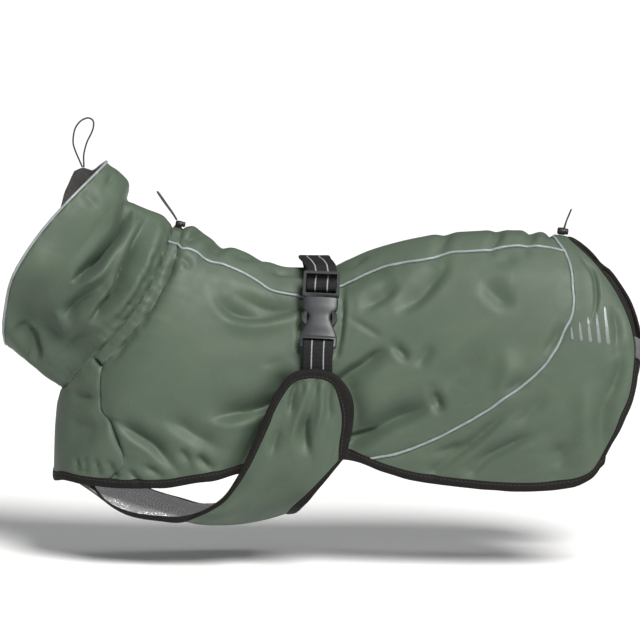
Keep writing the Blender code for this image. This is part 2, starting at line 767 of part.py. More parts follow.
# ---- webbing ----
def make_web(name, path, across, thick=WEB_THICK):
    """Flat webbing along a path of its middle line, across being its width's direction."""
    points = []
    count = len(path)
    for i in range(count):
        run = unit(add(path[min(i + 1, count - 1)], path[max(i - 1, 0)], -1))
        lean = sum(p * q for p, q in zip(across[i], run))
        side = unit(add(across[i], run, -lean))
        up = cross(side, run)
        for u, w in ((-1, -1), (1, -1), (1, 1), (-1, 1)):
            corner = add(add(path[i], side, u * WEB_WIDTH / 2), up, w * thick / 2)
            points.append(corner)
    faces = [(0, 1, 2, 3), tuple(4 * (count - 1) + k for k in (3, 2, 1, 0))]
    for i in range(count - 1):
        for k in range(4):
            m = (k + 1) % 4
            faces.append((4 * i + k, 4 * i + m, 4 * i + 4 + m, 4 * i + 4 + k))
    return make_object(name, points, faces, WEB_BLACK, 0.7)


def rounded_path(points, spans):
    """A smooth path through a few points, with even steps in each stretch."""
    path = []
    for i in range(spans * (len(points) - 1) + 1):
        path.append(tuple(smooth(points, i / spans)))
    return path


# ---- the buckle, in its own frame: u across, v down along it from the socket's mouth, w out ----
BUCKLE_TOP = (6.0, -34.8, 3.0)          # middle of the ladder bar's upper edge
BUCKLE_FOOT = (4.0, -61.1, -53.6)       # middle of the socket's lower edge
LADDER_REACH = 21.5                     # the plug's ladder above the socket's mouth
FRAME_HALF = 14.5                       # half widths
WINDOW_HALF = 12.4
SOCKET_THICK = 9.0
FRAME_THICK = 5.0
CAVITY_THICK = 5.0
ARM_THICK = 4.2


def buckle_frame():
    v = unit(add(BUCKLE_FOOT, BUCKLE_TOP, -1))
    u = unit((1.0, 0.0, v[0] / -v[2]))
    w = cross(v, u)
    mouth = add(BUCKLE_TOP, v, LADDER_REACH)
    return mouth, u, v, w


def at_buckle(u, v, w):
    """World point of a buckle point."""
    mouth, along_u, along_v, along_w = buckle_frame()
    return add(add(add(mouth, along_u, u), along_v, v), along_w, w)


def prism(name, outline, low, high, colour, cutter=False):
    """An outline of (u, v) points, extruded from w = low to w = high."""
    count = len(outline)
    points = [at_buckle(u, v, low) for u, v in outline]
    points += [at_buckle(u, v, high) for u, v in outline]
    faces = [tuple(range(count)), tuple(reversed(range(count, 2 * count)))]
    for i in range(count):
        n = (i + 1) % count
        faces.append((i, i + count, n + count, n))
    item = make_object(name, points, faces, colour, 0.3)
    if cutter:
        item.hide_render = True
        item.display_type = "WIRE"
    return item


def box_outline(half, top, bottom):
    return [(-half, top), (half, top), (half, bottom), (-half, bottom)]


def both_sides(right):
    """A closed outline from its right half, which runs down."""
    return right + [(-u, v) for u, v in reversed(right)]


def cut_with(item, cutters, operation="DIFFERENCE"):
    for cutter in cutters:
        step = item.modifiers.new(cutter.name, "BOOLEAN")
        step.operation = operation
        step.object = cutter
        step.solver = "EXACT"


def make_buckle():
    socket_half = both_sides([
        (13.0, 0.0), (14.0, 1.0), (14.0, 9.0), (13.2, 11.0), (9.2, 14.0), (8.4, 16.5), (8.8, 19.0),
        (13.2, 29.0), (14.6, 32.5), (14.6, 41.0), (13.6, 42.0),
    ])
    half = SOCKET_THICK / 2
    socket = prism("buckle_socket", socket_half, -half, half, BUCKLE_GREY)
    cavity = prism("cavity_cutter", box_outline(WINDOW_HALF, -2, 24.2), -CAVITY_THICK / 2,
                   CAVITY_THICK / 2, BUCKLE_GREY, True)
    slot = prism("slot_cutter", box_outline(WINDOW_HALF + 0.3, 35.0, 38.6), -half - 1, half + 1,
                 BUCKLE_GREY, True)
    front = prism("front_cutter", box_outline(WINDOW_HALF, 36.0, 43.0), 1.2, half + 2,
                  BUCKLE_GREY, True)
    back = prism("back_cutter", box_outline(WINDOW_HALF, 36.0, 43.0), -half - 2, -1.2,
                 BUCKLE_GREY, True)
    cut_with(socket, [cavity, slot, front, back])

    ladder_top = -LADDER_REACH
    frame = FRAME_THICK / 2
    plug_outline = both_sides([
        (13.5, ladder_top), (FRAME_HALF, ladder_top + 1.0), (FRAME_HALF, -1.2), (13.6, -0.5),
        (12.0, -0.5), (12.0, 12.2), (14.0, 13.8), (14.2, 17.0), (12.4, 21.6), (10.6, 23.4),
        (9.8, 22.4), (10.4, 17.0), (9.6, 12.0), (8.4, 4.0), (8.4, 1.5),
    ])
    plug = prism("buckle_plug", plug_outline, -frame, frame, BUCKLE_GREY)
    upper_window = prism("upper_window_cutter", box_outline(WINDOW_HALF, -19.3, -12.8),
                         -frame - 1, frame + 1, BUCKLE_GREY, True)
    lower_window = prism("lower_window_cutter", box_outline(WINDOW_HALF, -8.2, -3.2),
                         -frame - 1, frame + 1, BUCKLE_GREY, True)
    bar_front = prism("bar_front_cutter", box_outline(WINDOW_HALF, -13.5, -7.5), 1.0, frame + 1,
                      BUCKLE_GREY, True)
    arm_front = prism("arm_front_cutter", box_outline(FRAME_HALF + 1, -0.2, 30), ARM_THICK / 2,
                      frame + 1, BUCKLE_GREY, True)
    arm_back = prism("arm_back_cutter", box_outline(FRAME_HALF + 1, -0.2, 30), -frame - 1,
                     -ARM_THICK / 2, BUCKLE_GREY, True)
    cut_with(plug, [upper_window, lower_window, bar_front, arm_front, arm_back])


WING_TOP = 11           # the belly panel's section at the top of a wing
SEWN_RISE = 2.5         # lifts the flat webbing clear of the wing's curve


def make_webbing():
    across = (1.0, 0.0, 0.0)
    buckle_across = buckle_frame()[1]
    tucked = [at_buckle(0, v, w) for v, w in (
        (-5.6, -3.4), (-6.2, -0.6), (-7.2, 1.5), (-8.4, 2.4), (-12.6, 2.4), (-14.2, 1.7),
        (-16.2, -0.9), (-19.0, -4.1), (-21.5, -5.4))]
    arch = [(4.5, -24.0, 6.4), (1.0, -13.0, 9.0), (-3.0, 0.0, 9.9), (-3.0, 14.0, 9.2),
            (-2.0, 27.0, 4.6), (0.0, 40.0, -9.0), (2.0, 50.5, -28.0), (4.0, 59.5, -50.0),
            (6.0, 66.5, -66.0)]
    wing_lift = BINDING_PROUD + FACE_GAP + WEB_THICK / 2
    sewn = [sling.point(WING_TOP, -share, wing_lift + SEWN_RISE) for share in (0.985, 0.95, 0.91)]
    path = tucked + rounded_path(arch, 2) + sewn
    make_web("girth_strap", path,
             [buckle_across] * len(tucked) + [across] * (len(path) - len(tucked)))

    loop = [at_buckle(0, v, w) for v, w in (
        (49.0, -3.6), (44.0, -3.5), (40.0, -3.0), (38.0, -2.6), (36.9, -1.5), (36.7, 0.0),
        (36.9, 1.5), (38.0, 2.6), (40.0, 2.8), (43.0, 2.6), (48.0, 0.4))]
    inner_lift = -(WALL + FACE_GAP + FOIL + BINDING_PROUD + FACE_GAP + WEB_THICK / 2 + 0.5)
    hidden = [sling.point(WING_TOP, share, inner_lift) for share in (1.0, 0.96, 0.93)]
    path = loop + hidden
    make_web("buckle_strap", path, [buckle_across] * len(loop) + [across] * len(hidden))


# ---- cords: loops of elastic, their routes in millimetres ----
COLLAR_CORD = [
    (-191.3, 33, 77.7), (-194.3, 33.2, 84.5), (-196.9, 33.3, 90.7), (-198.7, 33.5, 96.8),
    (-198.4, 33.6, 103.9), (-196.6, 33.8, 110.1), (-192.4, 33.9, 115.3), (-186.8, 34.1, 117.6),
    (-182.7, 34.3, 115.4), (-182.4, 34.4, 110.2), (-184.2, 34.6, 105), (-187.3, 34.7, 98.8),
    (-189.3, 34.9, 92.5), (-190.4, 35, 86.3), (-190.2, 35.2, 77.4),
]
NECK_CORD = [
    (-112.6, -6.0, 40.3), (-115.6, -6.8, 45.3), (-122.5, -8.2, 55.0), (-127.0, -7.4, 61.5),
    (-128.2, -5.0, 63.0), (-127.0, -2.6, 61.5), (-122.5, -1.8, 55.0), (-115.6, -3.2, 45.3),
    (-112.6, -3.6, 40.3),
]
TAIL_CORD = [
    (198.6, -1.6, 35.3), (200.4, -2.6, 41.0), (202.6, -2.8, 46.4), (204.0, -1.4, 49.8),
    (204.2, 0.6, 49.9), (202.8, 2.2, 46.4), (200.6, 2.2, 41.0), (199.0, 1.4, 35.3),
]


def make_cord(name, route_points):
    """A cord as a curve with a bevel, points read from a smooth curve through its route."""
    step = 2.5 * CORD_DIAMETER
    length = sum(math.dist(a, b) for a, b in zip(route_points, route_points[1:]))
    count = max(int(length / step), 8)
    last = len(route_points) - 1
    curve = bpy.data.curves.new(name, "CURVE")
    curve.dimensions = "3D"
    curve.bevel_depth = CORD_DIAMETER / 2 * MM
    curve.bevel_resolution = 2
    curve.use_fill_caps = True
    spline = curve.splines.new("POLY")
    spline.points.add(count)
    for i in range(count + 1):
        x, y, z = smooth(route_points, last * i / count)
        spline.points[i].co = (x * MM, y * MM, z * MM, 1.0)
    curve.materials.append(cloth_material(name, WEB_BLACK, 0.7))
    item = bpy.data.objects.new(name, curve)
    bpy.context.scene.collection.objects.link(item)
    return item


def make_lock(name, middle, axis, length, radius):
    """A barrel cord lock with rounded ends."""
    outs = [(0.0, 0.0, 1.0)] * 4
    steps = (-0.5, 0.5)
    path = [add(middle, unit(axis), length * step) for step in steps]
    return make_tube(name, path, outs[:2], radius, BINDING_BLACK)


def make_cords():
    make_cord("collar_cord", COLLAR_CORD)
    make_cord("neck_cord", NECK_CORD)
    make_cord("tail_cord", TAIL_CORD)
    make_lock("neck_cord_lock", (-109.6, -4.8, 37.0), (1, 0, -0.15), 8.0, 2.4)
    make_lock("tail_cord_lock", (197.6, 0.0, 32.6), (1, 0, -0.1), 9.0, 2.8)


TAB_EASE = 0.3          # how loosely the tab lies on the binding


def make_tab():
    """A small folded tab sewn over the near rear binding."""
    inner = [rear_line.at(share) for share in (0.5, 0.54, 0.58)]
    outer = widened(inner, BINDING_WIDTH + 2.0)
    make_sheet("rear_tab", body, [inner, outer], TAB_GREY, 0.6,
               BINDING_PROUD + FACE_GAP + TAB_EASE + WALL, WALL)


def build():
    for old in list(bpy.data.objects):
        bpy.data.objects.remove(old)
    make_body_panels()
    make_bindings()
    make_piping()
    make_collar()
    make_belly()
    make_buckle()
    make_webbing()
    make_cords()
    make_tab()


build()
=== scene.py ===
"""Looks of the dog winter coat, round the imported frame: creased satin panels, funnel collar,
reflective piping, bindings, belly panel with silver lining, webbing, buckle and elastic cords.

X runs from the collar (-) to the tail (+), -Y is the near side with the buckle, and Z is up. The
origin is on the inner face of the back under the girth webbing. Lengths are millimetres, and
become metres when a mesh is made.
"""
import math
from collections import namedtuple

import bmesh
import bpy
import numpy as np
from mathutils import Matrix, Vector


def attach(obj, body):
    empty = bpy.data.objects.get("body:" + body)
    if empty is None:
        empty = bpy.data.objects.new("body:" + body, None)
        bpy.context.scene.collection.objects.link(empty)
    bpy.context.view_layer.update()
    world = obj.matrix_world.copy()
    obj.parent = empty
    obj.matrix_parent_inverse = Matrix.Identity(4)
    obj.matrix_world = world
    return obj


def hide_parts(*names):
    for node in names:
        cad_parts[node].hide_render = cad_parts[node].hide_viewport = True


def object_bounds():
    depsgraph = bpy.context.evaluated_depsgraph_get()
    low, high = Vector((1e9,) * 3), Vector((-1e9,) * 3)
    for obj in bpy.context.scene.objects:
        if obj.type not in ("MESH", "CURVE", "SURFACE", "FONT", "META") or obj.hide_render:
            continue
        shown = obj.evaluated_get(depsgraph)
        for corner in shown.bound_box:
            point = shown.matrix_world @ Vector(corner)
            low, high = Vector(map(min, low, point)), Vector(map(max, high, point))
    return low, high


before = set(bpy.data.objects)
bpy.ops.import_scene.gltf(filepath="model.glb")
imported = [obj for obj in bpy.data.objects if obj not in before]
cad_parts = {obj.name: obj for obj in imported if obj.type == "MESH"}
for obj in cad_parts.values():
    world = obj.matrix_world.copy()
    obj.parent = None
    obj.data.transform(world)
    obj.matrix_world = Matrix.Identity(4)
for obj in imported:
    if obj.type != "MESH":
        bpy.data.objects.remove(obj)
CAD_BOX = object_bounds()
ROOT = "root"
MM = 0.001


# ---- camera, light and floor, in metres ----
CAMERA_TURN = math.radians(3)
CAMERA_RISE = math.radians(8)
CAMERA_DISTANCE = 9.0
NEAR_SIDE = 0.045               # how far the coat's near side stands before the origin
PICTURE_WIDTH = 0.512           # across the picture at the near side
CENTRE_RIGHT = 0.0024           # the picture's middle, from the origin
CENTRE_UP = -0.0404
SENSOR = 36.0
FLOOR_DROP = 0.03               # the floor lies this far under the coat
FLOOR_HALF = 30.0


def show(obj):
    bpy.context.scene.collection.objects.link(obj)


def make_camera():
    data = bpy.data.cameras.new("camera")
    data.sensor_width = SENSOR
    data.lens = SENSOR * (CAMERA_DISTANCE - NEAR_SIDE) / PICTURE_WIDTH
    data.clip_end = 60.0
    right = Vector((math.cos(CAMERA_TURN), math.sin(CAMERA_TURN), 0))
    back = Vector((math.sin(CAMERA_TURN) * math.cos(CAMERA_RISE),
                   -math.cos(CAMERA_TURN) * math.cos(CAMERA_RISE), math.sin(CAMERA_RISE)))
    up = back.cross(right)
    place = right * CENTRE_RIGHT + up * CENTRE_UP + back * CAMERA_DISTANCE
    camera = bpy.data.objects.new("camera", data)
    camera.matrix_world = Matrix.Translation(place) @ Matrix((right, up, back)).transposed().to_4x4()
    show(camera)
    bpy.context.scene.camera = camera


def make_lamp(name, kind, power, aim, place=(0, 0, 0), **settings):
    data = bpy.data.lights.new(name, kind)
    data.energy = power
    for key, value in settings.items():
        setattr(data, key, value)
    lamp = bpy.data.objects.new(name, data)
    lamp.location = place
    lamp.rotation_euler = (Vector(aim) - Vector(place)).to_track_quat("-Z", "Y").to_euler()
    show(lamp)


def make_studio():
    bpy.context.scene.view_settings.view_transform = "Standard"
    world = bpy.data.worlds.new("studio")
    world.use_nodes = True
    world.node_tree.nodes["Background"].inputs["Color"].default_value = (0.95, 0.97, 1.0, 1)
    world.node_tree.nodes["Background"].inputs["Strength"].default_value = 0.11
    bpy.context.scene.world = world
    make_lamp("key", "SUN", 5.3, (-0.36, 0.63, -0.69), angle=math.radians(26), color=(1, 0.99, 0.97))
    make_lamp("top", "AREA", 12, (0, 0, 0), (0.2, 0.5, 2.2), shape="RECTANGLE", size=1.6, size_y=1.0)
    make_lamp("fill", "AREA", 2, (-0.05, 0, 0), (-2.2, -2.4, 1.2), shape="RECTANGLE", size=0.7,
              size_y=0.7, color=(0.97, 0.98, 1))
    level = CAD_BOX[0][2] - FLOOR_DROP
    mesh = bpy.data.meshes.new("floor")
    mesh.from_pydata([(x * FLOOR_HALF, y * FLOOR_HALF, level)
                      for x, y in ((-1, -1), (1, -1), (1, 1), (-1, 1))], [], [(0, 1, 2, 3)])
    material = bpy.data.materials.new("floor")
    material.use_nodes = True
    shader = material.node_tree.nodes["Principled BSDF"]
    for socket, value in (("Base Color", (0.8, 0.8, 0.8, 1)), ("Roughness", 0.9),
                          ("Emission Color", (1, 1, 1, 1)), ("Emission Strength", 0.07)):
        shader.inputs[socket].default_value = value
    mesh.materials.append(material)
    floor = bpy.data.objects.new("floor", mesh)
    show(floor)


# ---- small tools ----
def smooth(rows, place):
    """The rows' values at fractional row numbers, on a smooth curve through all rows."""
    rows = np.asarray(rows, float)
    place = np.asarray(place, float)
    last = len(rows) - 1
    i = np.clip(np.floor(place).astype(int), 0, last - 1)
    f = (place - i)[..., None]
    before = rows[np.maximum(i - 1, 0)]
    after = rows[np.minimum(i + 2, last)]
    h00 = (1 + 2 * f) * (1 - f) ** 2
    h10 = f * (1 - f) ** 2
    h01 = f * f * (3 - 2 * f)
    h11 = f * f * (f - 1)
    return (h00 * rows[i] + h10 * (rows[i + 1] - before) / 2
            + h01 * rows[i + 1] + h11 * (after - rows[i]) / 2)


def smooth_line(points):
    return smooth(points, np.linspace(0, len(points) - 1, 6 * len(points)))


def unit(v):
    return v / np.maximum(np.linalg.norm(v, axis=-1, keepdims=True), 1e-9)


def step_up(t, width=1.0):
    """0 to 1 as t goes from 0 to width, smoothly."""
    t = np.clip(t / width, 0, 1)
    return t * t * (3 - 2 * t)


def noise(points, size, seed):
    """Smooth random values from about -1 to 1, size being the distance between bumps."""
    q = np.asarray(points, float) / size + seed * 17.37
    cell = np.floor(q).astype(np.int64)
    f = q - cell
    f = f * f * (3 - 2 * f)
    total = np.zeros(q.shape[:-1])
    for corner in np.ndindex(*(2,) * q.shape[-1]):
        index = cell + np.array(corner)
        mixed = np.zeros(q.shape[:-1], np.int64)
        for axis, prime in zip(range(q.shape[-1]), (73856093, 19349663, 83492791)):
            mixed = mixed ^ (index[..., axis] * prime)
        mixed = (mixed ^ (seed * 2654435761)) & 0xFFFFFF
        mixed = (mixed * 1103515245 + 12345) & 0x7FFFFFFF
        value = ((mixed >> 8) & 0xFFFF) / 32767.5 - 1
        weight = np.prod(np.where(np.array(corner) == 1, f, 1 - f), axis=-1)
        total = total + value * weight
    return total


def run_length(points, axis):
    """How far each point of a grid lies along its row or column."""
    steps = np.linalg.norm(np.diff(points, axis=axis), axis=-1)
    start = np.zeros_like(np.take(steps, [0], axis=axis))
    return np.concatenate([start, np.cumsum(steps, axis=axis)], axis=axis)


# ---- creases ----
# A crease follows its points in a flat view. width: half of it. depth: how far the cloth on its
# line is pulled in, or pushed out where it is below 0. start, end: how much of that is left at
# the line's ends. lean: how much steeper its right bank is than its left, seen along the line.
# lap: how far the right bank hangs over it.
Crease = namedtuple("Crease", "width depth start end points lean lap", defaults=(0.0, 0.0))
DEEPER = 2.5            # every crease is this much deeper than its row says
FADE = 0.4              # share of the line over which a crease comes up from an end


def crease_push(crease, x, z):
    """How far a crease moves the cloth out, and sideways, at places of its view."""
    line = smooth_line(crease.points)
    reach = 5 * crease.width
    low = line.min(axis=0) - reach
    high = line.max(axis=0) + reach
    push = np.zeros(x.shape + (3,))
    near = (x > low[0]) & (x < high[0]) & (z > low[1]) & (z < high[1])
    if not near.any():
        return push
    place = np.stack([x[near], z[near]], axis=-1)
    off = np.full(len(place), 1e9)
    along = np.zeros(len(place))
    right = np.zeros(len(place))
    square = np.zeros((len(place), 2))
    reached = run_length(line[None], 1)[0]
    for i, run in enumerate(np.diff(line, axis=0)):
        length = max(np.linalg.norm(run), 1e-6)
        share = np.clip(((place - line[i]) @ run) / length ** 2, 0, 1)
        away = place - line[i] - share[:, None] * run
        distance = np.linalg.norm(away, axis=1)
        closer = distance < off
        across = np.array([run[1], -run[0]]) / length
        off = np.where(closer, distance, off)
        along = np.where(closer, (reached[i] + share * length) / reached[-1], along)
        right = np.where(closer, away @ across, right)
        square = np.where(closer[:, None], across, square)
    hand = right / np.maximum(off, 1e-6)
    q = off / (crease.width * (1 - crease.lean * hand))
    roundness = 1.6 if crease.depth > 0 else 2.0
    shape = np.exp(-q ** roundness) - 0.1 * np.exp(-((q - 1.9) / 0.9) ** 2)
    fade = (crease.start + (1 - crease.start) * step_up(along, FADE))
    fade = fade * (crease.end + (1 - crease.end) * step_up(1 - along, FADE))
    push[near, 0] = -DEEPER * crease.depth * shape * fade
    if crease.lap:
        pull = crease.lap * fade * np.exp(-((q - 1.1) / 1.0) ** 2) * np.clip(hand, 0, 1)
        push[near, 1:] = -square * pull[:, None]
        push[near, 0] += 0.2 * pull
    return push


def wander(creases, seed):
    """Creases like these, moved and reshaped a little, for the side that doesn't show."""
    others = []
    for n, crease in enumerate(creases):
        a = math.sin(12.9 * n + seed)
        b = math.sin(7.3 * n + 2 * seed)
        points = [(x + 5 * a, z + 5 * b) for x, z in crease.points]
        others.append(crease._replace(depth=crease.depth * (0.9 + 0.25 * b), points=points))
    return others


# Rows of width, depth, start, end, points, lean, lap. The points are x and z, and from above x and
# y. Most points of the side, collar and wing rows were picked by eye on the photo and converted by
# a scratch script, which also wrote the rows. Some were changed by hand later.
SIDE_CREASES = [Crease(*row) for row in [
    # the swag before the buckle
    (7, 3.2, 0.1, 0.5, [(-80, -11), (-74, -22), (-62, -30), (-46, -32), (-30, -30), (-12, -24)], 0.45),
    (5, 1.3, 0.1, 0.6, [(-71, -10), (-51, -20), (-33, -25), (-12, -25)], 0.2),
    (6, -1.2, 0.1, 0.4, [(-73, -37), (-51, -40), (-25, -36), (-12, -31)]),
    # from the dart and over the chest
    (5.5, 3, 0.1, 0.3, [(-164, -113), (-153, -120), (-141, -128), (-130, -135), (-122, -143),
     (-110, -155)], 0.4),
    (7, 2.3, 0.1, 0.2, [(-124, -114), (-115, -115), (-105, -120), (-93, -128), (-81, -133),
     (-70, -138)], 0.2),
    (2.4, 1.2, 0.2, 0.2, [(-168, -109), (-164, -117), (-161, -125), (-156, -137), (-153, -145)]),
    (8, 2.2, 0.3, 0.6, [(-202, -110), (-194, -118), (-180, -121), (-172, -118)]),
    (5, 1.3, 0.3, 0.4, [(-200, -96), (-191, -98), (-176, -97)]),
    (4, 1.5, 0.1, 0.5, [(-108, -136), (-103, -143), (-99, -150)]),
    (4, 1.9, 0.1, 0.5, [(-94, -140), (-89, -147), (-82, -153)]),
    (3, 1.3, 0.2, 0.5, [(-137, -152), (-129, -156), (-123, -160)]),
    (2.2, 1.1, 0.1, 0.9, [(-193, -146), (-191, -152), (-190, -158)]),
    (2.2, 1, 0.1, 0.9, [(-186, -145), (-184, -151), (-184, -158)]),
    (2.4, 1.1, 0.1, 0.9, [(-177, -146), (-175, -152), (-173, -159)]),
    (2.6, 1.2, 0.1, 0.9, [(-166, -147), (-163, -154), (-160, -161)]),
    (2.6, 1.1, 0.1, 0.9, [(-150, -155), (-145, -160), (-140, -165)]),
    # into the wing from the front
    (8, 4.8, 0.1, 1, [(-86, -118), (-80, -112), (-63, -109), (-46, -106), (-32, -99), (-22, -88)], 0.4),
    (9, 3.2, 0.3, 1, [(-28, -90), (-38, -109), (-46, -126), (-54, -142), (-61, -157)], -0.3),
    (4, 0.5, 0.1, 0.4, [(-43, -71), (-33, -68), (-21, -64)]),
    # behind the buckle
    (5, 1.5, 0.9, 0.1, [(21, -9), (30, -4), (45, 2), (64, 7)], -0.2),
    (6, 2, 0.1, 0.1, [(34, -25), (44, -22), (56, -15), (69, -4)], 0.4),
    (7, 2.5, 0.1, 0.2, [(62, -27), (73, -23), (85, -15), (95, -4), (103, 5), (104, 13)], 0.4),
    (7, 1.5, 0.1, 0.1, [(133, -1), (143, -11), (151, -17), (163, -18)], 0.2),
    (5, 0.9, 0.1, 0.1, [(133, 15), (145, 13), (156, 14), (164, 20)]),
    (2.2, 0.7, 0.3, 0.1, [(30, -33), (43, -40), (56, -47)]),
    # behind the wing
    (6, 3.2, 1, 0.1, [(17, -84), (29, -74), (39, -68), (48, -61), (63, -54)], -0.45),
    (3.5, 1.6, 0.3, 0.1, [(63, -52), (70, -58), (77, -66)]),
    (5, 1.3, 0.1, 0.1, [(81, -71), (90, -59), (95, -50)]),
    (8.5, 4.4, 1, 0.2, [(29, -134), (43, -126), (63, -114), (84, -105), (99, -98)], 0.35),
    (4, 2, 0.3, 0.1, [(95, -87), (99, -97), (103, -108)]),
    (2.6, 1.0, 1, 0.1, [(29, -128), (41, -125), (54, -120)], -0.3),
    (8, 2.4, 0.6, 0.5, [(29, -88), (33, -102), (34, -115), (32, -132)], 0.2),
    (11, 1.5, 0.1, 0.1, [(108, -100), (110, -83), (124, -69), (143, -61)]),
    (8, -1.1, 0.1, 0.1, [(148, -52), (155, -65), (154, -82), (143, -99)]),
    (5, 1.3, 0.1, 0.1, [(149, -90), (162, -83), (172, -75)]),
    (4, 1.3, 0.2, 0.2, [(202, -32), (195, -44), (183, -61)]),
    # the rump
    (1.8, 1.2, 0.2, 0.2, [(210, 19), (216, 12), (223, 4), (226, -10), (225, -24), (222, -32)]),
    (4.5, 2, 0.7, 0.1, [(97, -154), (109, -145), (124, -134), (136, -123), (151, -110), (167, -102)], 0.3),
    (5, 2.2, 0.6, 0.1, [(128, -154), (137, -144), (151, -136), (167, -128), (182, -122)], 0.3),
    (5, 1.4, 0.3, 0.2, [(93, -140), (106, -137), (122, -131)]),
    (6, 1.2, 0.1, 0.1, [(156, -118), (174, -105), (190, -87)]),
    (9, 1.9, 0.2, 0.5, [(192, -129), (198, -143), (195, -156)]),
    (4, 1.4, 0.1, 0.4, [(238, -20), (243, -39), (242, -58)]),
    (5, 2, 0.3, 0.2, [(247, -58), (244, -78), (234, -100)]),
    (9, 2.4, 0.2, 0.5, [(236, -84), (231, -112), (232, -146)]),
    (8, -1.2, 0.1, 0.4, [(219, -79), (220, -112), (222, -150)]),
    # the back panel and the casing, above the piping
    (2.6, 1.7, 0.2, 0.2, [(-94, 37), (-89, 31), (-81, 25)], 0.3),
    (2.2, 1.3, 0.3, 0.2, [(-108, 39), (-106, 35), (-105, 32)]),
    (2.6, 1.3, 0.2, 0.2, [(-83, 33), (-75, 27), (-66, 25)]),
    (2.6, 1.2, 0.3, 0.2, [(-117, 33), (-108, 30), (-96, 29)]),
    (2, 1.4, 0.4, 0.6, [(-180, -67), (-176, -70), (-172, -73)]),
    (2.6, 1.2, 0.4, 0.2, [(-112, 16), (-117, 2), (-123, -10)]),
    (2.4, 1.2, 0.4, 0.2, [(-125, -12), (-133, -28), (-140, -40)]),
    (2.4, 1, 0.4, 0.2, [(-144, -45), (-155, -58), (-161, -68)]),
    (3, 1, 0.2, 0.1, [(-110, 16), (-102, 10), (-100, 2)]),
    # the cloth pressed in beside the strap and the buckle
    (3.0, 1.3, 0.2, 0.6, [(-9.5, 2), (-10.5, -18), (-11.5, -38), (-12, -56)], 0.3),
    (3.0, 1.5, 0.2, 0.6, [(22, -8), (22.5, -26), (21.5, -44), (19, -60)], -0.3),
    # the hollow under the near wing's front edge
    (7, 6.4, 0.2, 0.3, [(-60, -167), (-47, -148), (-36, -127), (-25, -108), (-12, -93)], 0.4),
    # soft hollows on the chest below the collar
    (10, 1.5, 0.3, 0.3, [(-206, -92), (-192, -97), (-176, -99)]),
    (10, 1.4, 0.3, 0.3, [(-204, -128), (-190, -132), (-174, -128)]),
]]
BACK_CREASES = [Crease(*row) for row in [
    (4, 2.0, 0.8, 0.1, [(-101, -20), (-93, -6), (-90, 10)]),
    (5, 1.7, 0.1, 0.6, [(-88, -24), (-78, -8), (-76, 12)]),
    (5, 1.4, 0.2, 0.2, [(-70, -18), (-52, -4), (-40, 14)]),
    (4, 1.6, 0.2, 0.9, [(-38, -16), (-24, -12), (-12, -14)]),
    (4, 1.5, 0.2, 0.9, [(-36, 10), (-24, 6), (-12, 9)]),
    (4, 1.6, 0.9, 0.1, [(12, -10), (26, -14), (44, -12)]),
    (4, 1.5, 0.9, 0.1, [(12, 12), (28, 9), (46, 14)]),
    (5, 1.2, 0.3, 0.2, [(96, -28), (104, -8), (100, 14)]),
    (4, 1.5, 0.3, 0.2, [(138, -28), (146, -10), (143, 12)]),
    (4, 1.6, 0.3, 0.2, [(168, -26), (173, -6), (168, 18)]),
    (3, 1.2, 0.3, 0.5, [(184, -14), (188, 2), (185, 16)]),
]]
COLLAR_CREASES = [Crease(*row) for row in [
    # the deep fold under the turned flap, and its foot
    (4.6, 9, 0.3, 0.4, [(-152, 54), (-156, 44), (-162, 34), (-169, 25), (-178, 14), (-189, 1)], 0.2, 5),
    (4, -2.4, 0.2, 0.2, [(-192, -1), (-188, -5), (-178, -3), (-168, 4), (-160, 17)]),
    # the second fold, then its branches
    (4.2, 4.4, 0.2, 0.2, [(-137, 42), (-144, 30), (-150, 17), (-156, 4), (-161, -11), (-169, -22),
     (-177, -34)], 0.5, 1.5),
    (5, -1.6, 0.3, 0.2, [(-123, 44), (-127, 27), (-135, 6), (-145, -11), (-159, -28), (-173, -41)]),
    (5.5, 3.8, 0.3, 0.1, [(-171, -9), (-185, -17), (-197, -27), (-205, -39)], 0.2),
    (3, 2.4, 0.4, 0.1, [(-162, -13), (-171, -24), (-178, -36)], 0.3),
    (6, -1.8, 0.2, 0.2, [(-209, -27), (-206, -41), (-199, -53)]),
    # the hollow of the funnel's lower side
    (24, 6.6, 0.0, 0.5, [(-248, -50), (-235, -46), (-216, -50), (-198, -64)]),
    (16, -2.2, 0.6, 0.2, [(-262, 2), (-236, 6), (-212, 10), (-196, 4)]),
    (4, 3, 0.8, 0.2, [(-238, -50), (-232, -62), (-226, -84)], 0, 1.5),
    (12, 3, 0.3, 0.3, [(-222, -84), (-204, -70), (-186, -56), (-170, -40)]),
    # gathers at the top
    (2.6, 1.3, 0.5, 0.2, [(-148, 60), (-149, 51), (-150, 43)]),
    (2.8, 1.3, 0.5, 0.2, [(-141, 55), (-142, 48), (-143, 41)]),
    (3, 1.2, 0.3, 0.2, [(-160, 82), (-164, 76), (-167, 70)]),
    (4, 0.8, 0.2, 0.3, [(-186, 70), (-180, 62), (-172, 52)]),
    (2.6, 1.4, 0.2, 0.6, [(-138, -1), (-137, -7), (-134, -14)]),
    (2.4, 1.3, 0.2, 0.6, [(-150, -20), (-148, -24), (-145, -29)]),
    (2.4, 1.2, 0.2, 0.6, [(-130, 16), (-129, 10), (-127, 6)]),
]]
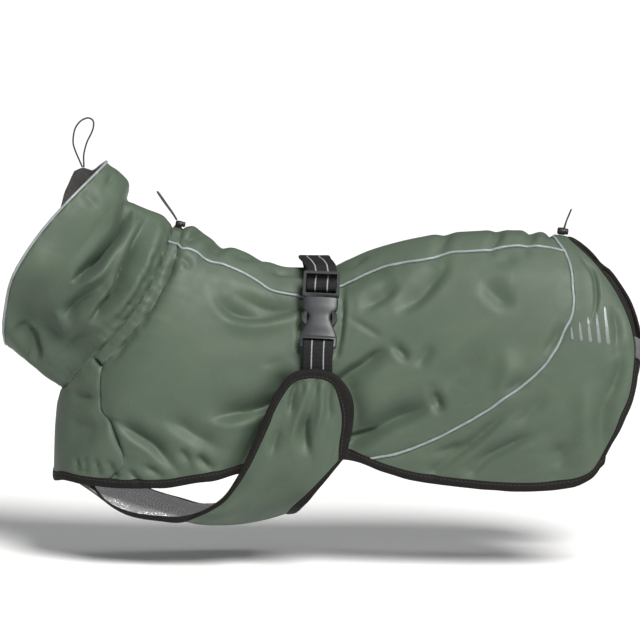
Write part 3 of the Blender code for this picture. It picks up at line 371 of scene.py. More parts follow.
WING_CREASES = [Crease(*row) for row in [
    (4.4, 2.7, 0.2, 0.1, [(-3, -103), (-6, -118), (-5, -131), (-1, -143)], -0.35),
    (2.6, 1.7, 0.9, 0.1, [(-13, -84), (-17, -95), (-18, -109)], 0.2),
    (4, 1.6, 0.2, 0.1, [(-25, -115), (-30, -129), (-33, -143)]),
    (3.4, -1.2, 0.7, 0.1, [(-4, -87), (-8, -100), (-14, -119), (-18, -135)]),
    (3.4, -1.2, 0.6, 0.1, [(7, -87), (8, -100), (4, -119), (3, -135)]),
    (3, 1.1, 0.8, 0.1, [(14, -86), (12, -98), (15, -112)]),
    (2, 0.9, 1, 0.1, [(-8, -82), (-8, -91)]),
    (2, 0.9, 1, 0.1, [(3, -82), (3, -91)]),
    (8, 1.2, 0.1, 0.1, [(-52, -150), (-66, -170), (-90, -186)]),
    (9, 1.1, 0.1, 0.1, [(-18, -150), (-30, -168), (-52, -188)]),
]]


# ---- the cloth's surfaces, as the CAD has them ----
# Rings across the wearer: x and z of the top line, x and z of the low line, half width, how far
# the middle of the ring's plane bulges to the tail, and how much above its middle that is.
BODY = [
    (-116, 36.0, -208.0, -97, 45.0, 11, 0.5), (-108, 34.8, -210.5, -110, 49.5, 15, 0.5),
    (-100, 35.0, -211.5, -124, 53.0, 14, 0.5), (-91, 29.5, -212.0, -139, 55.5, 11, 0.5),
    (-81, 21.0, -212.5, -154, 57.5, 7, 0.5), (-69, 17.2, -213.0, -170, 59.0, 3, 0.5),
    (-56, 12.6, -212.0, -188, 60.0, 0, 0.5), (-42, 7.0, -205.0, -206, 61.0, 0, 0.5),
    (-28, 2.5, -190.0, -222, 61.5, 0, 0.5), (-14, 1.8, -165.0, -234, 62.0, 0, 0.5),
    (0, 1.6, -130.0, -242, 62.0, 0, 0.5), (12, 2.2, -85.0, -246, 62.0, 0, 0.5),
    (24, 8.0, -30.0, -246, 62.0, 0, 0.5), (44, 16.5, 40.0, -246, 62.5, 0, 0.5),
    (70, 24.3, 90.0, -250, 63.0, 2, 0.5), (104, 29.8, 130.0, -254, 64.0, 6, 0.5),
    (138, 32.5, 162.0, -256, 64.0, 12, 0.5), (165, 32.5, 186.0, -254, 62.0, 20, 0.5),
    (184, 31.0, 200.0, -248, 59.0, 30, 0.5), (198, 28.8, 206.0, -236, 54.0, 42, 0.5),
    (208, 25.0, 182.0, -226, 46.0, 58, 0.5), (214, 20.0, 166.0, -220, 35.0, 63, 0.5),
]
# The collar's rings from the neck seam to the rim, and one past it for the lining.
COLLAR = [
    (-116, 36.0, -208.0, -97.0, 45.0, 11, 0.5), (-124, 43.0, -214.0, -92.5, 47.5, 8, 0.4),
    (-137, 48.0, -221.0, -87.0, 49.0, 4, 0.3), (-147, 52.5, -227.0, -81.5, 48.5, -2, 0.2),
    (-152.5, 55.5, -232.0, -77.5, 47.0, -6, 0.0), (-151, 64.0, -236.0, -74.0, 48.5, -9, -0.1),
    (-152, 71.0, -240.0, -71.0, 50.5, -13, -0.2), (-160, 79.0, -245.0, -67.0, 53.0, -17, -0.3),
    (-168, 85.8, -250.5, -63.6, 54.0, -21, -0.3), (-173, 96.0, -256.0, -56.0, 52.0, -25, -0.2),
]
RIM = 8
# How far past the rim the lining stands: angle, rings.
LINING_PAST = [(-180, 0.1), (-78, 0.1), (-72, 0.18), (-65, 0.31), (-57, 0.54), (-49, 0.86),
               (-42, 0.68), (-36, 0.2), (-30, 0.12), (180, 0.1)]
# Seam lines in the side view, top or front end first: x, z.
# Their points, and REAR_SEAM's, were picked by eye on the photo, converted by a scratch script and
# rounded.
UPPER_SEAM = [
    (-113, 24), (-106, 20.5), (-96, 18), (-76, 8), (-56, 0), (-46, -6), (-34, -12.5),
    (-12, -15), (20, -7), (50, 6), (85, 12.5), (105, 18), (132, 20.5), (164, 24), (188, 22.5),
    (200, 20),
]
DART_SEAM = [(-171, -73), (-173, -87), (-172, -106), (-164, -118), (-156, -137), (-153, -151)]
RUMP_SEAM = [
    (200, 20), (205, 8), (207, -7), (208, -18), (206, -30), (201, -40), (194, -55),
    (184, -69), (169, -83), (152, -95), (138, -105), (99, -127), (67, -140),
]
HEM = [
    (-213, -170), (-204, -168.5), (-182, -170), (-147, -171), (-118, -170), (-91, -165),
    (-59, -160), (-20, -152), (24, -145), (56, -155), (86, -163), (129, -168), (167, -170),
    (201, -168), (213, -165.5), (223, -160), (230, -152),
]
REAR_SEAM = [                       # ring number, angle from the top
    (19.35, 0), (19.45, 9), (19.95, 22), (20.02, 38), (19.96, 53), (19.85, 65), (19.66, 76),
    (19.55, 86), (19.25, 93), (19.05, 100),
]
HEM_DART = 0.16                     # share of the hem where the dart seam meets it
HEM_RUMP = 0.60
NECK_PIPING = 29.0                  # angles on the neck seam and on the casing's other edge
NECK_DART = 119.0
CASING_PIPING = 28.5
CASING_DART = 114.0
BINDING_WIDTH = 7.0
CLOTH = 1.3                         # thickness of a shown shell


class Surface:
    """A cloth surface with the creases of its near side, others like them on its far side, and
    those that show from above."""

    def __init__(self, creases, seed, top=()):
        self.near = creases
        self.far = wander(creases, seed)
        self.top = top

    def creased(self, points):
        """All creases at points: the push outwards, then the moves along x, y and z."""
        x, y, z = np.moveaxis(points, -1, 0)
        moves = np.zeros(x.shape + (4,))
        flank = step_up(np.abs(y) - 8, 14)
        for creases, side in ((self.near, y < 0), (self.far, y >= 0)):
            for crease in creases:
                moves[..., [0, 1, 3]] += crease_push(crease, x, z) * (side * flank)[..., None]
        crown = step_up(44 - np.abs(y), 16) * (z > -30)
        for crease in self.top:
            moves[..., :3] += crease_push(crease, x, y) * crown[..., None]
        return moves


def bulge(bow, lean, share):
    return bow * 4 * share * (1 - share) * (1 + lean * (1 - 2 * share))


class Tube(Surface):
    """A surface through closed rings. A place on it is a ring number s and an angle in degrees:
    0 on the top line, 90 on the near side, 180 on the low line, -90 on the far side."""

    def __init__(self, rings, tailward, *creases):
        super().__init__(*creases)
        self.rings = np.array(rings, float)
        self.tailward = tailward

    def bare(self, s, angle):
        top_x, top_z, low_x, low_z, half, bow, lean = np.moveaxis(smooth(self.rings, s), -1, 0)
        turn = np.radians(angle)
        share = (1 - np.cos(turn)) / 2
        run_x = low_x - top_x
        run_z = low_z - top_z
        push = bulge(bow, lean, share) / np.hypot(run_x, run_z)
        return np.stack([top_x + run_x * share - run_z * push, -half * np.sin(turn),
                         top_z + run_z * share + run_x * push], axis=-1)

    def normal(self, s, angle):
        along = self.bare(s + 0.02, angle) - self.bare(s - 0.02, angle)
        round_it = self.bare(s, angle + 0.5) - self.bare(s, angle - 0.5)
        return unit(np.cross(round_it, along)) * self.tailward

    def find(self, x, z):
        """The place on the near side that shows at a point of the side view."""
        below = np.zeros_like(x)
        above = np.full_like(x, len(self.rings) - 1.0)
        for _ in range(30):
            middle = (below + above) / 2
            top_x, top_z, low_x, low_z, _, bow, lean = np.moveaxis(smooth(self.rings, middle), -1, 0)
            run_x = low_x - top_x
            run_z = low_z - top_z
            length = np.hypot(run_x, run_z)
            share = np.clip(((x - top_x) * run_x + (z - top_z) * run_z) / length ** 2, 0, 1)
            side = (-(x - top_x) * run_z + (z - top_z) * run_x) / length
            tailward = side > bulge(bow, lean, share)
            below = np.where(tailward, middle, below)
            above = np.where(tailward, above, middle)
        return np.stack([below, np.degrees(np.arccos(1 - 2 * share))], axis=-1)


body = Tube(BODY, 1, SIDE_CREASES, 1.7, BACK_CREASES)
collar_tube = Tube(COLLAR, -1, COLLAR_CREASES, 0.6)


class Line:
    """A seam or an edge, smooth through its places, from share 0 to share 1."""

    def __init__(self, tube, places):
        self.places = np.array(places, float)
        points = tube.bare(self.places[:, 0], self.places[:, 1])
        steps = np.linalg.norm(np.diff(points, axis=0), axis=1)
        self.reach = np.concatenate([[0], np.cumsum(steps)])

    def cut(self, start, end, spans):
        shares = np.linspace(start, end, spans + 1) * self.reach[-1]
        return smooth(self.places, np.interp(shares, self.reach, np.arange(len(self.reach))))


def mirror(places, low=False):
    """Places on the far side, in the same order. low: the line goes on past the low line."""
    full = 360.0 if low else 0.0
    return places * (1, -1) + (0, full)


def joined(*runs):
    """Runs of places end to end, each starting where the one before it ends."""
    return np.concatenate([runs[0]] + [run[1:] for run in runs[1:]])


def over_back(half, *middle):
    """A run that goes down the near side, with its mirror image before it."""
    return joined(mirror(half)[::-1], *middle, half)


def round_front(half):
    """A run that starts on the low line, reversed, with its mirror image after it."""
    return joined(half[::-1], mirror(half, True))


def between(first, last, rows):
    """Rows of places from one line to another."""
    shares = np.linspace(0, 1, rows)[:, None, None]
    return first[None] * (1 - shares) + last[None] * shares


def patch(first, last, start, end, even=False):
    """Places that fill the space between four lines. first and last run across it, start and
    end run from first's ends to last's ends."""
    rows = len(start)
    if even:
        v = np.linspace(0, 1, rows)
    else:
        v = (start[:, 0] - start[0, 0]) / (start[-1, 0] - start[0, 0])
    u = np.linspace(0, 1, len(first))[None, :, None]
    v = v[:, None, None]
    across = first[None] * (1 - v) + last[None] * v
    along = start[:, None] * (1 - u) + end[:, None] * u
    corners = ((first[0] * (1 - u) + first[-1] * u) * (1 - v)
               + (last[0] * (1 - u) + last[-1] * u) * v)
    return across + along - corners


FINE = 12                           # steps to each span of the CAD's panels
BACK = 4 * FINE
LONG = 16 * FINE
CASING = 6 * FINE
DART = 5 * FINE
CHEST = 6 * FINE
RUMP = 6 * FINE


def route(rows, up=0.0):
    """Places on the body for the rows of a side-view line, moved up by a distance."""
    rows = np.array(rows, float)
    return body.find(rows[:, 0], rows[:, 1] + up)


def ring_run(s, start, end, spans):
    angles = np.linspace(start, end, spans + 1)
    return np.stack([np.full_like(angles, s), angles], axis=-1)


hem_line = Line(body, route(HEM))
bind_line = Line(body, route(HEM, BINDING_WIDTH))
rump_route = route(RUMP_SEAM)
dart_line = Line(body, np.concatenate([[(1.0, CASING_DART)], route(DART_SEAM)[1:],
                                       bind_line.cut(HEM_DART, HEM_DART, 0)]))
rump_line = Line(body, np.concatenate([rump_route, bind_line.cut(HEM_RUMP, HEM_RUMP, 0)]))
upper_line = Line(body, np.concatenate([[(1.0, CASING_PIPING)], route(UPPER_SEAM)[1:-1],
                                        rump_route[:1]]))
rear_line = Line(body, np.concatenate([REAR_SEAM, bind_line.cut(1, 1, 0)]))
rump_top = Line(body, [(18.3, 0.0), (18.42, rump_route[0, 1] / 2), tuple(rump_route[0])])

upper = upper_line.cut(0, 1, LONG)
dart = dart_line.cut(0, 1, DART)
rump_side = rump_line.cut(0, 1, CASING + DART)
rump_back = rump_top.cut(0, 1, BACK // 2)
rump_half = joined(rump_back, rump_side)
casing_side = ring_run(1.0, CASING_PIPING, CASING_DART, CASING)
casing_back = ring_run(1.0, -CASING_PIPING, CASING_PIPING, BACK)
neck_side = ring_run(0.0, NECK_PIPING, NECK_DART, CASING)
neck_back = ring_run(0.0, -NECK_PIPING, NECK_PIPING, BACK)
neck_chest = ring_run(0.0, NECK_DART, 360 - NECK_DART, CHEST)
hem_half, bind_half = (joined(line.cut(0, HEM_DART, CHEST // 2), line.cut(HEM_DART, HEM_RUMP, LONG),
                              line.cut(HEM_RUMP, 1, RUMP)) for line in (hem_line, bind_line))
bind_chest = bind_half[:CHEST // 2 + 1]
bind_side = bind_half[CHEST // 2:CHEST // 2 + LONG + 1]
bind_rump = bind_half[CHEST // 2 + LONG:]
rear_half = rear_line.cut(0, 1, CASING + DART + BACK // 2)


def widened(places, width):
    """Places moved on towards the tail by a distance on the cloth."""
    ahead = body.bare(places[:, 0] + 0.05, places[:, 1])
    back = body.bare(places[:, 0] - 0.05, places[:, 1])
    step = np.linalg.norm(ahead - back, axis=-1) / 0.1
    return np.stack([places[:, 0] + width / step, places[:, 1]], axis=-1)


def back_places():
    return patch(casing_back, over_back(rump_back), mirror(upper), upper)


def side_places():
    front = joined(casing_side, dart)
    flat = [body.bare(line[:, 0], line[:, 1])[:, ::2] for line in (upper, bind_side, front, rump_side)]
    places = body.find(*np.moveaxis(patch(*flat, even=True), -1, 0))
    places[0] = upper
    places[-1] = bind_side
    places[:, 0] = front
    places[:, -1] = rump_side
    return places


def chest_places():
    neck = np.array([0.0, NECK_DART])
    near = joined(np.linspace(neck, dart[0], FINE + 1), dart)
    return patch(neck_chest, round_front(bind_chest), near, mirror(near, True))


def casing_places():
    return between(over_back(neck_side, neck_back), over_back(casing_side, casing_back), FINE + 1)


def rump_places():
    return patch(over_back(rump_half), over_back(rear_half), mirror(bind_rump), bind_rump)


# ---- the belly panel's surface, as the CAD has it but for the rise and drop of its far edge ----
# Sections from the front: x and z on the middle line, x and z of the near edge in the side view,
# half width, degrees from the middle line to the edge, how much nearer the tail the far edge is,
# and the swing: above 1, the section reaches its edge's x early and rises straight after that.
BELLY = [
    (-203, -167.5, -181.5, -168.0, 40.0, 55, 2, 1.0),
    (-187, -171.0, -166.0, -184.0, 49.0, 55, 6, 1.0),
    (-163, -180.0, -148.0, -193.5, 52.5, 55, 9, 1.0),
    (-138, -190.5, -124.0, -197.0, 54.5, 57, 11, 1.0),
    (-117, -199.5, -102.0, -196.0, 57.5, 62, 14, 1.3),
    (-101, -205.0, -76.0, -180.0, 62.0, 74, 18, 1.8),
    (-89, -206.5, -63.0, -163.0, 65.5, 86, 20, 2.2),
    (-78, -207.0, -50.0, -137.0, 67.5, 94, 19, 2.4),
    (-69, -207.0, -39.5, -111.0, 68.5, 99, 17, 2.4),
    (-61, -206.5, -31.0, -92.0, 69.0, 101, 15, 2.3),
    (-54, -205.5, -18.5, -76.0, 69.0, 103, 12, 2.0),
    (-46, -204.0, -5.0, -71.0, 69.0, 103, 8, 1.7),
    (-38, -202.0, 10.5, -72.0, 69.0, 103, 4, 1.4),
    (-32, -200.0, 22.0, -78.5, 69.0, 102, 1, 1.2),
    (-27, -198.0, 30.5, -91.0, 69.0, 101, 0, 1.0),
    (-23, -196.5, 33.0, -105.0, 69.0, 99, 0, 1.0),
    (-20, -195.5, 31.5, -122.0, 68.5, 97, 0, 1.0),
    (-17, -195.0, 27.0, -141.0, 67.5, 95, 0, 1.0),
]
BELLY_SQUARE = 0.12     # 0 is a round section
LAG_DROP = 0.3          # how far the far edge hangs down for each millimetre of its lag
FAR_RISE = 8.0          # how much higher the far edge hangs at the front
FAR_DROP = 6.0          # how much lower it hangs before the wing
BELLY_ROWS = (0, 1, 2, 3, 4, 4.5, 5, 5.5, 6, 6.5, 7, 8, 9)
REAR_ROWS = 8
WIDEST_BINDING = 0.9
WIDER_FRONT = 0.018     # how much more the near wing's binding takes of a half section
WIDER_REAR = 0.034
SPANS_BELLY = 8
BELLY_FINE = 9
LINING_FINE = 6


class Sling(Surface):
    """The belly panel's outer face. A place is a section number s and a share of the way from
    the middle line (0) to the near edge (1) or the far edge (-1)."""

    def bare(self, s, share):
        base_x, base_z, edge_x, edge_z, half, end, lag, swing = np.moveaxis(smooth(BELLY, s), -1, 0)
        turn = np.radians(end) * share
        rise = (1 - np.cos(turn)) / (1 - np.cos(np.radians(end)))
        wide = (np.sin(turn) + BELLY_SQUARE * np.sin(3 * turn)) / (1 - BELLY_SQUARE)
        far = np.minimum(share, 0.0) ** 2
        shift = lag * (1 - (1 - far) ** 2)
        swung = 1 - (1 - np.minimum(rise, 1.0)) ** swing
        raised = FAR_RISE * step_up(4.5 - s, 3.5) - FAR_DROP * np.exp(-((s - 5) / 1.6) ** 2)
        return np.stack([base_x + (edge_x - base_x) * swung + shift, -half * wide,
                         base_z + (edge_z - base_z) * rise - shift * LAG_DROP + raised * far], axis=-1)

    def normal(self, s, share):
        across = self.bare(s, share + 0.01) - self.bare(s, share - 0.01)
        return unit(np.stack([np.zeros_like(share + s), -across[..., 2], across[..., 1]], axis=-1))


sling = Sling(WING_CREASES, 2.9)
LAST_SECTION = len(BELLY) - 1.0


def belly_side(s, side):
    """Where the side binding begins, side being 1 near and -1 far."""
    across = sling.bare(s, side) - sling.bare(s, 0.98 * side)
    along = unit(sling.bare(s + 0.05, side) - sling.bare(s - 0.05, side))
    square = np.linalg.norm(np.cross(across, along), axis=-1) / 0.02
    return side * np.maximum(1.0 - BINDING_WIDTH / square, WIDEST_BINDING)


def belly_row(t, share):
    step = np.linalg.norm(sling.bare(LAST_SECTION, share) - sling.bare(LAST_SECTION - 1, share), axis=-1)
    rear = LAST_SECTION - BINDING_WIDTH / step
    split = len(BELLY_ROWS) - 1
    early = np.interp(t, np.arange(split + 1), BELLY_ROWS)
    late = BELLY_ROWS[-1] + (rear - BELLY_ROWS[-1]) * (t - split) / REAR_ROWS
    return np.where(t <= split, early, late)


def belly_places(fine):
    """Rows from the chest hem to the rear edge, each from the far edge to the near edge."""
    spans = len(BELLY_ROWS) - 1 + REAR_ROWS
    t = np.linspace(0, spans, spans * fine + 1)[:, None]
    j = np.linspace(-1, 1, 2 * SPANS_BELLY * fine + 1)[None, :]
    near = belly_side(belly_row(t, 1.0), 1.0)
    far = belly_side(belly_row(t, -1.0), -1.0)
    share = np.abs(j) * np.where(j > 0, near, far)
    return np.stack([belly_row(t, share), share], axis=-1)


def belly_rim_places(fine):
    """The inner and outer line of the binding: near side, rear, far side."""
    panel = belly_places(fine)
    inner = np.concatenate([panel[:, -1], panel[-1, -2:0:-1], panel[::-1, 0]])
    s, share = inner[:, 0], inner[:, 1]
    wider = WIDER_FRONT * step_up(s - 4, 3) * step_up(9.6 - s, 2)
    wider = wider + WIDER_REAR * step_up(s - 12.4, 1.6) * step_up(17 - s, 1.2)
    inner[:, 1] = share * (1 - wider * (np.abs(share) > 0.85))
    sides = []
    for edge, side in ((panel[:, -1], 1.0), (panel[:, 0], -1.0)):
        sides.append(np.stack([edge[:, 0], np.full(len(panel), side)], axis=-1))
        sides[-1][-1, 0] = LAST_SECTION
    rear = panel[-1, -2:0:-1].copy()
    rear[:, 0] = LAST_SECTION
    return inner, np.concatenate([sides[0], rear, sides[1][::-1]])


# ---- the cloth as it lies: creases, small waves, and the pull of the seams ----
SINK = 0.9              # how far a seam is pulled in
FAR_RIM_SINKS = np.array([3.2, 0, -1.8])        # the far half of the collar's rim hangs lower
ALL_SIDES = ("first", "last", "start", "end")


def from_side(points, side):
    """Distance from one side of a grid along the cloth, and that side's own points."""
    axis = 0 if side in ("first", "last") else 1
    reach = run_length(points, axis)
    if side in ("last", "end"):
        reach = np.take(reach, [-1], axis=axis) - reach
    seam = np.take(points, [0 if side in ("first", "start") else -1], axis=axis)
    return reach, np.broadcast_to(seam, points.shape)


def seam_pull(points, seams):
    """The push of sewn edges on a grid. seams: side -> (height, size, reach of its gathers,
    how deep the edge turns in)."""
    sink = np.zeros(points.shape[:2])
    wave = np.zeros(points.shape[:2])
    for side, (height, size, reach, roll) in seams.items():
        away, seam = from_side(points, side)
        gather = noise(seam, size, 9) + 0.5 * noise(seam, size * 0.55, 4)
        turned = roll * (1 - step_up(away, 1.1 + 0.4 * roll)) * (1 + 0.6 * gather)
        sink = np.maximum(sink, SINK * (1 - step_up(away, 13)) + turned)
        wave = wave + height * gather * np.exp(-away / reach) * step_up(away + 0.6, 3)
    return wave - sink


def lie(surface, places, lift=0.0, seams=None):
    """Points of the cloth's outer face at places of a surface, and the outward directions."""
    bare = surface.bare(places[..., 0], places[..., 1])
    ups = surface.normal(places[..., 0], places[..., 1])
    moves = surface.creased(bare)
    if surface is collar_tube:
        far = step_up(bare[..., 1] - 4, 24) * step_up(places[..., 0] - 5, 3)
        far = far * step_up(58 - bare[..., 2], 16)
        bare = bare + FAR_RIM_SINKS * far[..., None]
        own = step_up(places[..., :1], 0.7)
        ups = unit(ups * own + body.normal(0.0 * places[..., 0], places[..., 1]) * (1 - own))
        moves = moves * own + body.creased(bare) * (1 - own)
    push = moves[..., 0] + 0.6 * noise(bare, 34, 3) + 0.12 * noise(bare, 15, 5) + lift
    if seams:
        push = push + seam_pull(bare, seams)
    return bare + ups * push[..., None] + moves[..., 1:], ups


def finish_piece(obj, paints, node, replaced=True):
    """Paints a piece and hangs it on the frame, and hides the CAD node it replaces."""
    for name in paints:
        obj.data.materials.append(MATERIALS[name])
    show(obj)
    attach(obj, ROOT)
    if replaced:
        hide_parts(node)
    return obj


def looped(index, rows, columns):
    """A grid of point numbers, closed along its rows or its columns."""
    if rows:
        index = np.concatenate([index, index[:1]])
    if columns:
        index = np.concatenate([index, index[:, :1]], axis=1)
    quads = np.stack([index[:-1, :-1], index[:-1, 1:], index[1:, 1:], index[1:, :-1]], axis=-1)
    return index, quads.reshape(-1, 4)


def outward_object(name, points, faces, uv, kinds=None, edge=None):
    """A closed, smooth-shaded mesh with its faces turned out. uv: cloth coordinates, which
    become centimetres. kinds: the faces' material numbers. edge: distance from an edge."""
    mesh = bpy.data.meshes.new(name)
    mesh.from_pydata((points * MM).tolist(), [], faces)
    if uv is not None:
        layer = mesh.uv_layers.new(name="cloth")
        corners = np.empty(len(mesh.loops), np.int32)
        mesh.loops.foreach_get("vertex_index", corners)
        layer.data.foreach_set("uv", (uv.reshape(-1, 2)[corners] * 0.1).astype(np.float32).ravel())
    if kinds is not None:
        layer = mesh.attributes.new("edge", "FLOAT", "POINT")
        layer.data.foreach_set("value", edge.astype(np.float32))
        mesh.polygons.foreach_set("material_index", kinds)
    work = bmesh.new()
    work.from_mesh(mesh)
    if work.calc_volume(signed=True) < 0:
        bmesh.ops.reverse_faces(work, faces=work.faces)
    work.to_mesh(mesh)
    work.free()
    mesh.shade_smooth()
    mesh.set_sharp_from_angle(angle=math.radians(55))
    return bpy.data.objects.new(name, mesh)


def loft(name, rings, along=None, around=None, closed=False):
    """A closed skin over rings of points. along, around: the cloth coordinates of its rings and
    of the points of each. closed: the last ring joins the first."""
    rows, columns = rings.shape[:2]
    index, quads = looped(np.arange(rows * columns).reshape(rows, columns), closed, True)
    faces = [tuple(face) for face in quads.tolist()]
    if not closed:
        faces.append(tuple(reversed(index[0, :columns].tolist())))
        faces.append(tuple(index[-1, :columns].tolist()))
    uv = None
    if along is not None:
        uv = np.stack(np.broadcast_arrays(around[None, :], along[:, None]), axis=-1)
    return outward_object(name, rings.reshape(-1, 3), faces, uv)


def shell(name, outer, inner, wrap=False, bound=ALL_SIDES):
    """A closed cloth wall from its outer and inner grids, its inner faces in the second
    material. bound: the sides whose distance counts as an edge for wear."""
    rows, columns = outer.shape[:2]
    under = rows * columns
    index, quads = looped(np.arange(under).reshape(rows, columns), False, wrap)
    sides = [index[0, ::-1], index[-1]]
    if not wrap:
        sides += [index[:, 0], index[::-1, -1]]
    rims = [np.stack([side[:-1], side[1:], side[1:] + under, side[:-1] + under], axis=-1)
            for side in sides]
    faces = np.concatenate([quads, quads[:, ::-1] + under] + rims)
    kinds = np.zeros(len(faces), np.int32)
    kinds[len(quads):2 * len(quads)] = 1
    across = run_length(outer, 1)
    uv = np.stack([across - across[:, columns // 2:columns // 2 + 1], run_length(outer, 0)], axis=-1)
    edge = np.full((rows, columns), 99.0)
    for side in bound:
        edge = np.minimum(edge, from_side(outer, side)[0])
    points = np.concatenate([outer.reshape(-1, 3), inner.reshape(-1, 3)])
    return outward_object(name, points, faces.tolist(), np.concatenate([uv, uv]), kinds,
                          np.tile(edge.ravel(), 2))


def cloth(name, outer, ups, thick, face, back=None, **shape):
    """A piece of cloth from the points of its outer face."""
    return finish_piece(shell(name, outer, outer - ups * thick, **shape), [face, back or face], name)


# the inner face takes the silver lining, with its painted glow
def panel(name, surface, places, seams, back="lining"):
    outer, ups = lie(surface, places, seams=seams)
    cloth(name, outer, ups, CLOTH, "satin", back)


# ---- bindings: a strip folded over the cut edge ----
# share of the width from its inner line, and height over the cloth's outer face
BINDING_FRONT = [(-0.07, -0.2), (-0.05, 0.35), (0.04, 0.62), (0.2, 0.8), (0.42, 0.9), (0.62, 0.95),
                 (0.8, 0.85), (0.93, 0.5), (1.0, 0.0)]


def binding(name, surface, inner_places, outer_places, thick):
    inner, ups = lie(surface, inner_places)
    across = lie(surface, outer_places)[0] - inner
    ripple = noise(inner, 6.5, 11)
    width = 1 + 0.05 * noise(inner, 12, 13)
    profile = BINDING_FRONT + [(1.0, -thick / 2)] + [(u, -thick - h) for u, h in BINDING_FRONT[::-1]]
    rings = []
    for u, h in profile:
        swell = 0.16 * ripple * math.sin(math.pi * min(max(u, 0.05), 1))
        height = (h + math.copysign(1, h + thick / 2) * swell)[..., None]
        rings.append(inner + across * (u * width)[..., None] + ups * height)
    spans = run_length(np.array([profile]) * (BINDING_WIDTH, 1), 1)[0]
    along = run_length(inner[None], 1)[0]
    finish_piece(loft(name, np.stack(rings, axis=1), along, spans), ["binding"], name)


# ---- pipings ----
PIPING_RADIUS = 1.1
PIPING_SIDES = 12


def piping(name, path, ups, uneven, closed=False):
    if closed:
        run = np.roll(path, -1, axis=0) - np.roll(path, 1, axis=0)
    else:
        run = np.gradient(path, axis=0)
    run = unit(run)
    up = unit(ups - run * np.sum(ups * run, axis=-1, keepdims=True))
    side = np.cross(run, up)
    radius = PIPING_RADIUS * (1 + uneven)
    turn = np.linspace(0, 2 * math.pi, PIPING_SIDES, endpoint=False)[None, :, None]
    rings = path[:, None] + radius[:, None, None] * (np.cos(turn) * up[:, None]
                                                     + np.sin(turn) * side[:, None])
    around = np.arange(PIPING_SIDES) * (2 * math.pi * float(np.mean(radius)) / PIPING_SIDES)
    obj = loft(name, rings, run_length(path[None], 1)[0], around, closed)
    finish_piece(obj, ["piping"], name)


def seam_piping(name, places):
    """A corded piping that sits in a seam."""
    base, ups = lie(body, places, lift=0.15 - SINK)
    side = np.cross(unit(np.gradient(base, axis=0)), ups)
    wobble = 0.22 * noise(base, 9, 21) + 0.12 * noise(base, 4, 22)
    path = base + side * wobble[:, None] + ups * (0.15 * noise(base, 5, 23))[:, None]
    piping(name, path, ups, 0.05 * noise(base, 3.2, 24))


# ---- the collar ----
LINING_LIFT = -1.9
NECK_STEPS = joined(over_back(neck_side, neck_back), neck_chest)[:-1, 1]


def collar_grid(rings, angles):
    return np.stack(np.meshgrid(rings, angles, indexing="ij"), axis=-1)


def make_collar():
    seams = {"first": (1.8, 4.6, 6.5, 2.4), "last": (0.3, 7.0, 6.0, 0.8)}
    outer, ups = lie(collar_tube, collar_grid(np.linspace(0, RIM, 8 * FINE + 1), NECK_STEPS),
                     seams=seams)
    cloth("collar", outer, ups, CLOTH, "satin", wrap=True, bound=("first", "last"))

    angles = NECK_STEPS[::2]
    places = collar_grid(np.linspace(0.4, RIM, 4 * FINE + 1), angles)
    past = np.interp((angles + 180) % 360 - 180, *np.transpose(LINING_PAST))
    proud = np.linspace(0, 1, 9)[1:, None] * past
    proud = np.stack([RIM + proud, np.broadcast_to(angles, proud.shape)], axis=-1)
    places = np.concatenate([places, proud])
    outer, ups = lie(collar_tube, places, lift=LINING_LIFT)
    slack = 0.5 * noise(outer, 11, 31) * step_up(places[..., 0] - 5, 3)
    outer = outer + ups * np.minimum(slack, 0.2)[..., None]
    cloth("collar_lining", outer, ups, 1.0, "lining_dark", wrap=True, bound=("last",))

    rim, ups = lie(collar_tube, collar_grid([RIM], NECK_STEPS)[0], lift=-0.9)
    before, _ = lie(collar_tube, collar_grid([RIM - 0.2], NECK_STEPS)[0], lift=-0.4)
    onward = unit(rim - before)
    path = rim + onward * 1.2 + ups * (0.25 * noise(rim, 8, 33))[:, None]
    piping("collar_piping", path, onward, 0.06 * noise(rim, 3.4, 34), closed=True)


# ---- the body ----
# how a sewn edge pulls: height and size of its gathers, their reach, how deep it turns in
SOFT = (0.4, 6.5, 6.0, 1.1)
GATHERED = (1.0, 4.2, 9.0, 1.4)
SEAMED = (1.4, 4.2, 7.0, 1.7)


def make_body():
    soft_sides = {"start": SOFT, "end": SOFT}
    panel("back_panel", body, back_places(), {"first": GATHERED, "last": SOFT, **soft_sides})
    side = side_places()
    seams = {"first": SOFT, "start": GATHERED, "end": SOFT}
    panel("side_panel_left", body, side, seams)
    panel("side_panel_right", body, mirror(side), seams)
    panel("chest_panel", body, chest_places(), {"first": SEAMED, **soft_sides})
    panel("neck_casing", body, casing_places(), {"first": SEAMED, "last": GATHERED, **soft_sides})
    panel("rump_panel", body, rump_places(), {"first": SOFT}, "lining_dark")

    inner, outer = (round_front(np.concatenate([half, widened(half[-1:], BINDING_WIDTH)]))
                    for half in (bind_half, hem_half))
    binding("hem_binding", body, inner, outer, CLOTH)
    binding("rear_binding", body, over_back(rear_half),
            over_back(widened(rear_half, BINDING_WIDTH)), CLOTH)
    start = np.linspace((0.12, NECK_PIPING), (1.0, CASING_PIPING), FINE)
    seam_piping("back_piping_left", joined(start, upper))
    seam_piping("back_piping_right", mirror(joined(start, upper)))
    seam_piping("rump_piping", over_back(rump_half))


# ---- the belly panel ----
FOIL_LIFT = -2.3
FOIL = 0.8
BELLY_THICK = 3.2       # panel, gap and lining together


